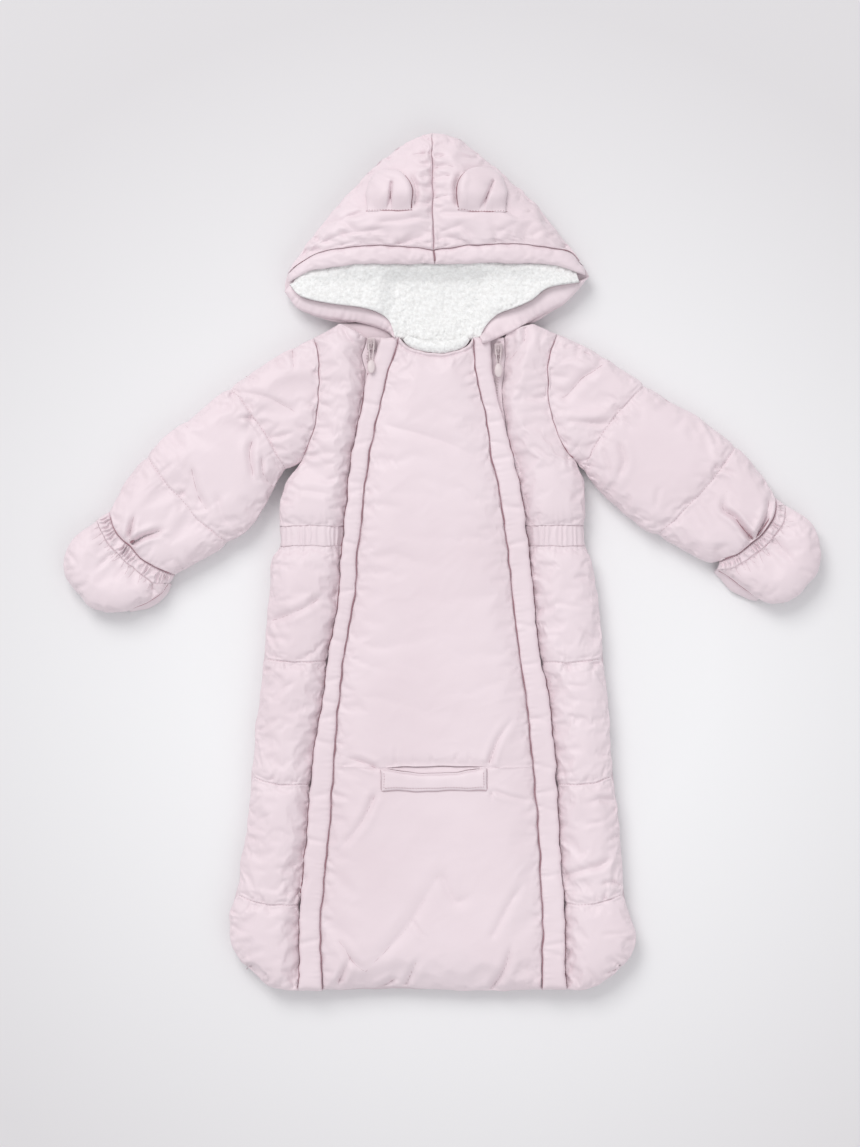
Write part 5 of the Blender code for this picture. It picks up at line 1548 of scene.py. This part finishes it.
ROLL_RADIUS = 5.4
ROLL_HEIGHT = 26.0
ROLL_OUT = 4.6
ROLL_RINGS = 90
ROLL_POINTS = 40        # points of each ring


def add_roll(fleece):
    """The fluffy facing that turns over the front's neckline."""
    along = spaced(spline(NECKLINE), np.linspace(0.05, 0.95, ROLL_RINGS))
    heading = headings(along)
    turns = np.arange(ROLL_POINTS) * 2 * math.pi / ROLL_POINTS
    share = even(ROLL_RINGS - 1)[:, None]
    run = np.repeat(share * 80, ROLL_POINTS, 1)
    radius = ROLL_RADIUS * (0.6 + 0.4 * np.sin(math.pi * share) ** 0.6)
    round_it = np.repeat(turns[None] * ROLL_RADIUS, ROLL_RINGS, 0)
    bumps = curls(np.stack([run, round_it], axis=-1), 121, 0.7)
    bumps *= (1 - np.abs(turns / math.pi - 1) ** 8)[None]
    radius = radius + bumps * np.sin(math.pi * share) ** 0.5
    out = ROLL_OUT + radius * np.cos(turns)[None]
    x = along[:, :1] - heading[:, 1:] * out
    y = along[:, 1:] + heading[:, :1] * out
    z = ROLL_HEIGHT + radius * np.sin(turns)[None]
    points = np.stack([x, y, z], axis=-1).reshape(-1, 3)
    polygons = tube_faces(np.arange(len(points)).reshape(-1, ROLL_POINTS))
    piece = add_mesh(SEWN + "neck_roll", points, polygons, fleece)
    stand_for(piece, "fleece")


EAR_SLANT = {"left": 2, "right": 10}
EAR_DOWN = 2.5          # the ears sit this much lower on the hood than in the solid
EAR_ROUND = 0.42        # share of an ear's height at which its round top starts
EAR_COLUMNS = 25


def ear_plan(side):
    left, right, base, height, _ = EARS[side]
    middle, half = (left + right) / 2, (right - left) / 2 + 1.0
    across = np.linspace(-1, 1, EAR_COLUMNS)
    plan = []
    for share in np.sin(even(20) * 1.43):
        width = half * math.sqrt(1 - max(share - EAR_ROUND, 0) ** 2 / (1 - EAR_ROUND) ** 2)
        width *= 0.93 + 0.07 * min(share / EAR_ROUND, 1)
        y = np.full(EAR_COLUMNS, base - EAR_DOWN + height * share)
        plan.append(np.column_stack([middle + width * across, y]))
    arc = np.sqrt(np.clip(1 - ((plan[-1][:, 0] - middle) / half) ** 2, 0, 1))
    plan[-1][:, 1] = base - EAR_DOWN + height * (EAR_ROUND + (1 - EAR_ROUND) * arc)
    return np.array(plan)


def add_ear(side, cloth):
    left, right, base, height, pinch = EARS[side]
    base -= EAR_DOWN
    plan = facing_up(shifted(ear_plan(side)))
    under = lies_on(plan, [f"hood_front_{side}"], 1.5) + 0.15
    under -= 1.6 * (1 - smooth_step((plan[..., 1] - base + 1) / 6))
    seam = np.array([(left - 9, base), (right + 9, base)], float)
    edge, from_base = from_rim(plan), away(plan, seam)
    line = np.array([(pinch, base + 4), (pinch + EAR_SLANT[side], base + 0.66 * height)], float)
    sewn = smooth_step(from_base / 20)
    sides = from_sides(plan)
    thick = 0.7 + 2.6 * smooth_step(from_base / 15) + 5.2 * rise(np.minimum(edge, sides), 8) * sewn
    thick -= 1.5 * trough(away(plan, line), 8) * rise(edge, 9)

    def relief(points):
        pulled = puckers(points, seam, 6, 0.45, 9, 131)
        gap_dart, run = beside(points, line)
        dart = (6.8 - 0.12 * run) * np.exp(-(gap_dart / 1.2) ** 2)
        return rim_fade(points) * (pulled - dart + 0.3 * noise(points, 12, 137))

    stand_for(shell(f"ear_{side}", plan, under + thick, under, cloth, relief), "quilted_cloth")


# ---- the harness slot

def add_slot(cloth, trim):
    upper, lower = slot_lips()
    shares = np.linspace(0.07, 0.93, 49)
    high, low = spaced(upper, shares) - np.array([0, 1.3]), spaced(lower, shares) + np.array([0, 1.3])
    low[:, 1] = np.minimum(low[:, 1], high[:, 1] - 0.8)
    plan = facing_up(shifted(ladder(high, low, even(4))))
    under = evened(lies_on(plan, ["front_centre"]), 3) + 0.3
    piece = shell("slot_facing", plan, under + 0.9, under, cloth, lambda p: 0.25 * noise(p, 7, 141))
    stand_for(piece, "quilted_cloth")
    shares = np.linspace(0, 1, 57)
    top = spaced(lower, shares) - np.array([0, 0.6])
    foot = np.column_stack([top[:, 0], np.full(57, SLOT["y"] - SLOT["welt"])])
    plan = facing_up(shifted(ladder(top, foot, near_ends(12))))
    under = evened(lies_on(plan, ["front_centre"], 1.5), 8) + 0.2
    edge = from_rim(plan)
    outline = np.vstack([top[0], foot[0], foot[-1], top[-1]])

    def relief(points):
        line = np.exp(-((away(points, outline) - 1.6) / 0.8) ** 2)
        wrinkles = puckers(points, outline, 7, 0.3, 8, 145) + 0.35 * noise(points, 12, 143)
        return (wrinkles - 0.5 * line) * rim_fade(points, 1.2)

    piece = shell("slot_welt", plan, under + 0.5 + 2.3 * rise(edge, 6), under, trim, relief)
    stand_for(piece, "trim_cloth")
    return outline


# ---- painted shade in seams and folds, and stitches

HEXAGON = np.arange(6) * math.pi / 3    # angles round a seam's tube and a stitch


def on_cloth(line, names):
    """Points of a line on the pieces under it."""
    return np.column_stack([line, lies_on(line[:, None], names)[:, 0]])


def seam_tube(line, height, radius, taper, first):
    """Points and faces of a thin uneven tube along a line, whose points are numbered from first."""
    plan = shifted(spaced(line, even(max(int(length_of(line) / 3), 8))))
    heading = headings(plan)
    side = np.column_stack([heading[:, 1], -heading[:, 0]])
    run = 3.0 * np.arange(len(plan))
    wide = np.clip(0.75 + 0.55 * along_noise(run, 17, 151) + 0.3 * along_noise(run, 7, 152), 0.35, 1.3)
    wide = (radius * wide * (1 - taper * even(len(plan) - 1)))[:, None]
    z = height(plan)[:, None]
    rings = [np.hstack([plan + side * wide * math.cos(a), z + wide * math.sin(a)]) for a in HEXAGON]
    points = np.stack(rings, axis=1).reshape(-1, 3)
    return points, tube_faces(first + np.arange(len(points)).reshape(-1, 6))


def add_line_tube(name, line, height, radius, material, taper=0):
    """A thin tube along a line: dark, it is painted shade in the groove of a seam or the bottom of a fold;
    faint, it is a stitched line.
    """
    add_bottoms(name, [(line, radius)], height, material, taper)


def add_bottoms(name, lines, height, material, taper=0.8):
    """Thin tubes along lines, as one piece: each line comes with its radius. Dark ones are painted shade at
    the bottoms of narrow folds and grooves.
    """
    points, polygons = np.empty((0, 3)), []
    for line, radius in lines:
        more, faces_of_it = seam_tube(line, height, radius, taper, len(points))
        points = np.vstack([points, more])
        polygons += faces_of_it
    add_mesh(name, points, polygons, material)


def pleats(side):
    """Lines of painted shade for the short folds that fan out from the elastic over the mitten."""
    generator = np.random.default_rng(170 + SIDES.index(side))
    line = spline(CUFF_OUTER[side])
    shares = np.cumsum(generator.uniform(0.025, 0.075, 17))
    shares = shares[shares < 0.95]
    middle = np.mean([spline(edge[side]).mean(0) for edge in (MITTEN_TOP, MITTEN_UNDER)], axis=0)
    found = []
    for start, along, inward in inwards(line, shares, middle):
        length, lean = generator.uniform(3.5, 13), generator.normal(0, 0.22)
        way = inward + lean * along
        places = (start + way, start + way * length * 0.5 + along * 0.4, start + way * length)
        found.append((spline(places), 0.38))
    return found


DEEP_CREASE = 2.5       # creases from this depth on get a line of painted shade at their bottom


def crease_bottoms():
    """The lines of the deepest creases, each from its deeper end, with a radius."""
    found = []
    for first, last, width, places in CREASES:
        if max(first, last) >= DEEP_CREASE:
            line = spline(places if first >= last else places[::-1], 6)
            found.append((line, float(np.clip(0.11 * max(first, last), 0.26, 0.45))))
    return found


def add_stitches(name, lines, material, length=2.3, pitch=3.1, radius=0.22):
    """Dashes of stitching along lines of points on the cloth."""
    points, polygons = [], []
    ring = [(math.cos(a), math.sin(a)) for a in HEXAGON]
    for line in lines:
        run = distances(line)
        for start in np.arange(0.6, run[-1] - length, pitch):
            at = start + length * np.linspace(0, 1, 4)
            middle = np.column_stack([np.interp(at, run, line[:, axis]) for axis in range(3)])
            middle[[0, -1], 2] -= 0.25
            middle[1:3, 2] += 0.12
            heading = middle[-1, :2] - middle[0, :2]
            heading /= np.linalg.norm(heading)
            side = np.array([heading[1], -heading[0], 0])
            polygons += prism(len(points), 6)
            for knot, size in zip(middle, (0.45, 1, 1, 0.45)):
                for c, s in ring:
                    points.append(knot + side * radius * size * c + np.array([0, 0, radius * size * s]))
    add_mesh(name, points, polygons, material)


def add_seams(dark_shade_and_thread, faint_thread):
    """Painted shade in the grooves between the pieces, and faint stitched lines along the waist elastic and
    the mittens.
    """
    runs = {"hood_seam": (centre_seam(400, 286, even(40)), 0.42, "hood_front_left")}
    for side in SIDES:
        rows = np.linspace(ZIP_TOP - 2, FOOT + 2, 90)
        runs[f"guard_seam_{side}"] = guard_seam(side, rows), 0.45, "front_centre"
        runs[f"armhole_seam_{side}"] = spline(ARMHOLE[side])[3:-3], 0.35, f"front_upper_{side}"
        runs[f"brim_line_{side}"] = spline(BRIM_SEAM[side])[4:-1], 0.38, f"hood_brim_{side}"
        runs[f"cuff_line_{side}"] = spline(CUFF_INNER[side])[3:-3], 0.5, f"cuff_{side}"
    # each of these runs is a dark tube of painted shade in the groove of its seam
    for name, (line, radius, carrier) in runs.items():
        add_line_tube(name, line, edge_height(carrier, -0.35 - 0.3 * radius), radius, dark_shade_and_thread)
    for side in SIDES:
        on_waist, on_cuff = (edge_height(name, 0.0) for name in named(side, "waist_elastic", "cuff"))
        for name, y in (("top", WAIST_TOP), ("foot", WAIST_FOOT)):
            rows = np.array([y, y])
            ends = np.vstack([seam_line(side, rows)[0], zip_edge(side, rows)[0]])
            ends += (ends[::-1] - ends) * 0.04
            add_line_tube(f"waist_{name}_{side}", spaced(ends, even(20)), on_waist, 0.25, faint_thread)
        add_line_tube(f"mitten_line_{side}", spline(CUFF_OUTER[side])[3:-3], on_cuff, 0.25, faint_thread)


GUARD_SHADE_RADIUS = {"left": 0.5, "right": 0.4}      # radius of the line of painted shade under the guard's free edge

PINCHES = {
    # folds that the elastic draws in the sleeves' ends, each drawn as a tapered line of painted shade
    "left": (((-277, 28), (-267, 36), (-254, 41)), ((-276, 29), (-273, 38), (-272, 46))),
    "right": (((294, 33), (286, 41), (279, 50)), ((297, 34), (304, 42), (312, 54))),
}


def add_folds(dark_shade_and_thread, soft_thread):
    """Painted shade: dark tubes at the bottoms of the deepest creases, at the cuffs, under the mittens,
    beside the ears and under the guards' free edges.
    """
    creased_pieces = ["front_centre"]
    for side in SIDES:
        creased_pieces += named(side, "front_upper", "front_lower", "sleeve", "hood_front")
    # painted shade in the deepest creases
    add_bottoms("crease_bottoms", crease_bottoms(), on_top(-0.1, *creased_pieces), soft_thread)
    for side in SIDES:
        add_bottoms(f"pleats_{side}", pleats(side), on_top(0.0, f"mitten_{side}"), soft_thread)
        # painted shade in the pinched folds at the sleeve's end
        for j, places in enumerate(PINCHES[side]):
            on_sleeve = edge_height(f"sleeve_{side}", 0.1)
            add_line_tube(f"pinch_{side}_{j}", spline(places), on_sleeve, 1.0, dark_shade_and_thread, 0.85)
        # painted shade in the fold under the mitten
        under = spaced(spline(MITTEN_UNDER[side]), np.linspace(0.02, 0.6, 20))
        add_line_tube(f"mitten_fold_{side}", under, edge_height(f"mitten_{side}", 0), 0.4, dark_shade_and_thread, 0.6)
        # painted shade along the inner side of the ear
        inner = ear_plan(side)[1:15, -1 if side == "left" else 0] - np.array([0.5 * OUTWARD[side], 0])
        add_line_tube(f"ear_side_{side}", inner, on_top(0.3, f"hood_front_{side}"), 0.8, dark_shade_and_thread, 0.6)
        # painted shade in the gap under the guard's free edge
        rows = np.linspace(GUARD_OPEN[side] - 12, FOOT + 3, 110)
        free = np.column_stack([guard_rim(side, rows) + 0.5 * OUTWARD[side], rows])
        under_guard = on_top(0.0, *named(side, *BESIDE_GUARD))
        add_line_tube(f"guard_fold_{side}", free, under_guard, GUARD_SHADE_RADIUS[side], dark_shade_and_thread)


def on_top(lift, *names):
    """Height of the pieces under a line, seen from above."""
    return lambda plan: evened(lies_on(plan[:, None], names), 2)[:, 0] + lift


EDGE_SEARCH = 28.0      # height from which the nearest point of an edge is looked for


def edge_height(name, sink):
    """Height of the nearest point of a piece's face, for a seam that runs along its edge."""
    def height(plan):
        spots = np.column_stack([plan, np.full(len(plan), EDGE_SEARCH)])
        found = [trees[name].find_nearest(Vector(spot)) for spot in spots]
        return evened(np.array([[hit[0].z] for hit in found]), 2)[:, 0] + sink

    return height


def add_sewing(welt_outline, dark_shade_and_thread, soft_thread):
    lines = []
    for name in ("front_lower_left", "front_lower_right", "sleeve_left", "sleeve_right"):
        grid = refined(faces[name]["points"])
        for row in faces[name]["held"]:
            lines.append(on_cloth(grid[2 * row, 3:-3, :2], [name]))
    add_stitches("quilting", lines, soft_thread)
    for side in SIDES:
        add_ear_sewing(side, dark_shade_and_thread)
    # painted shade along the welt's outline
    outline = welt_outline + np.array([(-0.4, 0), (-0.4, -0.4), (0.4, -0.4), (0.4, 0)])
    add_line_tube("welt_seam", spaced(outline, even(60)), edge_height("slot_welt", -0.1), 0.25, soft_thread)
    inner = np.array([(1, -1), (1, 1), (-1, 1), (-1, -1)]) * 2.6
    stitched = shifted(spaced(welt_outline + inner, even(89)))
    add_stitches("welt_stitches", [on_cloth(stitched, ["slot_welt"])], dark_shade_and_thread, 1.9, 2.5, 0.18)


def add_ear_sewing(side, dark_shade_and_thread):
    """The stitched foot of an ear, with painted shade in the slit of its dart and along its foot."""
    left, right, base, _, pinch = EARS[side]
    base -= EAR_DOWN
    line = np.array([(left - 1, base + 1.4), (right + 1, base + 1.4)], float)
    line = on_cloth(shifted(spaced(line, even(40))), named(side, "ear", "hood_front"))
    slit = np.array([(pinch, base + EAR_DOWN + 2), (pinch + 0.6 * EAR_SLANT[side], base + 19)], float)
    add_line_tube(f"ear_dart_{side}", slit, on_top(0.2, f"ear_{side}"), 0.8, dark_shade_and_thread, 0.7)
    foot = np.array([(left - 1, base + 0.6), (right + 1, base + 0.9)], float)
    add_line_tube(f"ear_foot_{side}", spaced(foot, even(14)), on_top(0.0, f"hood_front_{side}"), 0.4, dark_shade_and_thread)
    add_stitches(f"ear_stitches_{side}", [line], dark_shade_and_thread, 1.9, 2.6, 0.2)


# ---- materials

def material_of(name, colour, roughness, values=None):
    """A new material, with any other values that its shader needs."""
    material = bpy.data.materials.new(name)
    material.use_nodes = True
    inputs = material.node_tree.nodes["Principled BSDF"].inputs
    inputs["Base Color"].default_value = (*colour, 1)
    inputs["Roughness"].default_value = roughness
    for key, value in (values or {}).items():
        inputs[key].default_value = value
    return material


def speckle(material, scale, detail=3.0, roughness=0.5, kind="FBM"):
    """A noise texture in the object's own coordinates."""
    nodes, links = material.node_tree.nodes, material.node_tree.links
    place = nodes.new("ShaderNodeTexCoord")
    texture = nodes.new("ShaderNodeTexNoise")
    texture.noise_type = kind
    texture.inputs["Scale"].default_value = scale
    texture.inputs["Detail"].default_value = detail
    texture.inputs["Roughness"].default_value = roughness
    links.new(place.outputs["Object"], texture.inputs["Vector"])
    return texture.outputs["Fac"]


def bumpy(material, *layers):
    """Layers of bumps on a surface: each has a strength and a distance, then its texture's values."""
    nodes, links = material.node_tree.nodes, material.node_tree.links
    normal = None
    for strength, distance, *texture in layers:
        height = speckle(material, *texture)
        node = nodes.new("ShaderNodeBump")
        node.inputs["Strength"].default_value = strength
        node.inputs["Distance"].default_value = distance
        links.new(height, node.inputs["Height"])
        if normal:
            links.new(normal, node.inputs["Normal"])
        normal = node.outputs["Normal"]
    links.new(normal, nodes["Principled BSDF"].inputs["Normal"])


def tinted(material, factor, low, high, span=(0.35, 0.65)):
    """A colour that drifts between two near tints, as a factor goes from one end of a span to the other."""
    nodes, links = material.node_tree.nodes, material.node_tree.links
    ramp = nodes.new("ShaderNodeValToRGB")
    for end, place, colour in zip(ramp.color_ramp.elements, span, (low, high)):
        end.position, end.color = place, (*colour, 1)
    links.new(factor, ramp.inputs["Fac"])
    links.new(ramp.outputs["Color"], nodes["Principled BSDF"].inputs["Base Color"])


def taffeta(name, low, high):
    """Smooth tightly woven cloth with a soft sheen and the small waves that sewing leaves in it."""
    sheen = {"Sheen Weight": 0.25, "Sheen Roughness": 0.4, "Specular IOR Level": 0.35}
    material = material_of(name, high, 0.5, sheen)
    tinted(material, speckle(material, 9, 4), low, high)
    weave, soft = (0.12, 0.0003, 2400, 2), (0.16, 0.004, 42, 2)
    bumpy(material, weave, (0.16, 0.0026, 38, 4, 0.5, "RIDGED_MULTIFRACTAL"), soft)
    return material


def sherpa(name):
    """Dull white fleece with small curls on larger locks."""
    sheen = {"Sheen Weight": 0.5, "Sheen Roughness": 0.6, "Specular IOR Level": 0.1}
    material = material_of(name, (0.93, 0.925, 0.92), 0.95, sheen)
    tinted(material, speckle(material, 330, 3), (0.88, 0.872, 0.86), (0.985, 0.985, 0.98))
    bumpy(material, (0.7, 0.0012, 900, 4, 0.7), (0.6, 0.003, 260, 3, 0.6))
    return material


def plain(name, colour, roughness, grain=900, metallic=0.0):
    material = material_of(name, colour, roughness, {"Metallic": metallic})
    tinted(material, speckle(material, 160, 3), tuple(0.93 * c for c in colour), colour)
    bumpy(material, (0.15, 0.0003, grain, 2))
    return material


# ---- stage

def paper():
    """A background whose colour is painted darker away from a place below the middle of the bag: painted
    shade, darker towards the edges.
    """
    material = material_of("paper", (0.80, 0.795, 0.805), 0.9)
    nodes, links = material.node_tree.nodes, material.node_tree.links
    place = nodes.new("ShaderNodeTexCoord")
    distance = nodes.new("ShaderNodeVectorMath")
    distance.operation = "DISTANCE"
    distance.inputs[1].default_value = (0.02, -0.07, 0)
    links.new(place.outputs["Object"], distance.inputs[0])
    # painted shade: the floor's colour from its lit middle to its darker edges
    near, far = (0.85, 0.846, 0.856), (0.69, 0.672, 0.685)
    tinted(material, distance.outputs["Value"], near, far, (0.24, 0.6))
    return material


FLOOR_HALF = 3000
FLOOR_DOWN = 0.4        # the floor lies this much under the bag


def make_stage():
    corners = [(x, y, 0) for x, y in ((-1, -1), (1, -1), (1, 1), (-1, 1))]
    floor = placed("floor", mesh_of("floor", FLOOR_HALF * np.array(corners), [(0, 1, 2, 3)]))
    floor.data.materials.append(paper())
    floor.location.z = -FLOOR_DOWN * MM


def add_light(name, place, size, power, colour=(1, 1, 1)):
    """A square lamp that faces the middle of the bag."""
    light = bpy.data.lights.new(name, "AREA")
    light.shape = "SQUARE"
    light.size, light.energy, light.color = size, power, colour
    holder = placed(name, light)
    holder.location = place
    holder.rotation_euler = (-Vector(place)).to_track_quat("-Z", "Y").to_euler()


PIXEL = 0.92            # real size of one pixel of the picture, in millimetres
PICTURE = (860, 1147)
LENS = 110.0
SENSOR = 36.0
FOCUS = 20              # height above the floor at which the picture has its scale


def make_camera():
    data = bpy.data.cameras.new("camera")
    data.lens, data.sensor_width = LENS, SENSOR
    camera = bpy.context.scene.camera = placed("camera", data)
    across = PICTURE[1] * PIXEL * MM
    camera.location = (-2 * PIXEL * MM, 0, FOCUS * MM + across * LENS / SENSOR)


def make_light():
    world = bpy.data.worlds.new("world")
    world.use_nodes = True
    sky = world.node_tree.nodes["Background"].inputs
    sky["Color"].default_value = (0.97, 0.98, 1.0, 1)
    sky["Strength"].default_value = 0.67
    bpy.context.scene.world = world
    bpy.context.scene.view_settings.view_transform = "Standard"
    add_light("window", (-1.8, 3.2, 4.3), 2.9, 154, (1.0, 0.99, 0.98))
    add_light("wall", (0.9, -1.3, 1.8), 1.8, 7)


# ---- the scene

PINKS = (0.765, 0.645, 0.685), (0.80, 0.685, 0.725)     # the two tints that the cloth drifts between

make_stage()
make_camera()
make_light()
cloth, trim = (taffeta(name, *PINKS) for name in ("quilted_cloth", "trim_cloth"))
# the tubes drawn in these two dark colours are painted shade in grooves and folds; the same colours also
# dash the real stitches
dark_shade_and_thread = plain("seam_thread", (0.38, 0.20, 0.235), 0.8)
soft_thread = plain("soft_thread", (0.60, 0.45, 0.49), 0.8)
white = sherpa("fleece")

make_body_faces()
make_sleeve_faces()
make_hood_faces()
swollen()
add_back(cloth)
add_body(cloth)
add_sleeves(cloth)
add_hood(cloth)
metal = plain("slider_metal", (0.60, 0.50, 0.52), 0.36, 600, 0.3)
rubber = plain("grip_rubber", (0.72, 0.62, 0.63), 0.45, 500)
for side in SIDES:
    for name, finish in ((f"slider_{side}", metal), (f"pull_{side}", rubber)):
        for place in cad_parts[name].material_slots:
            place.material = finish
for side in SIDES:
    add_waist(side, cloth)
    add_zip(side, trim, metal)
    add_guard(side, cloth)
    add_cuff(side, trim)
    add_gusset(side, cloth)
    add_ear(side, cloth)
for side in SIDES:
    add_band(side, trim)
add_lining(white)
add_roll(white)
welt_outline = add_slot(cloth, trim)
add_seams(dark_shade_and_thread, plain("faint_thread", (0.70, 0.57, 0.61), 0.8))
add_folds(dark_shade_and_thread, soft_thread)
add_sewing(welt_outline, dark_shade_and_thread, soft_thread)
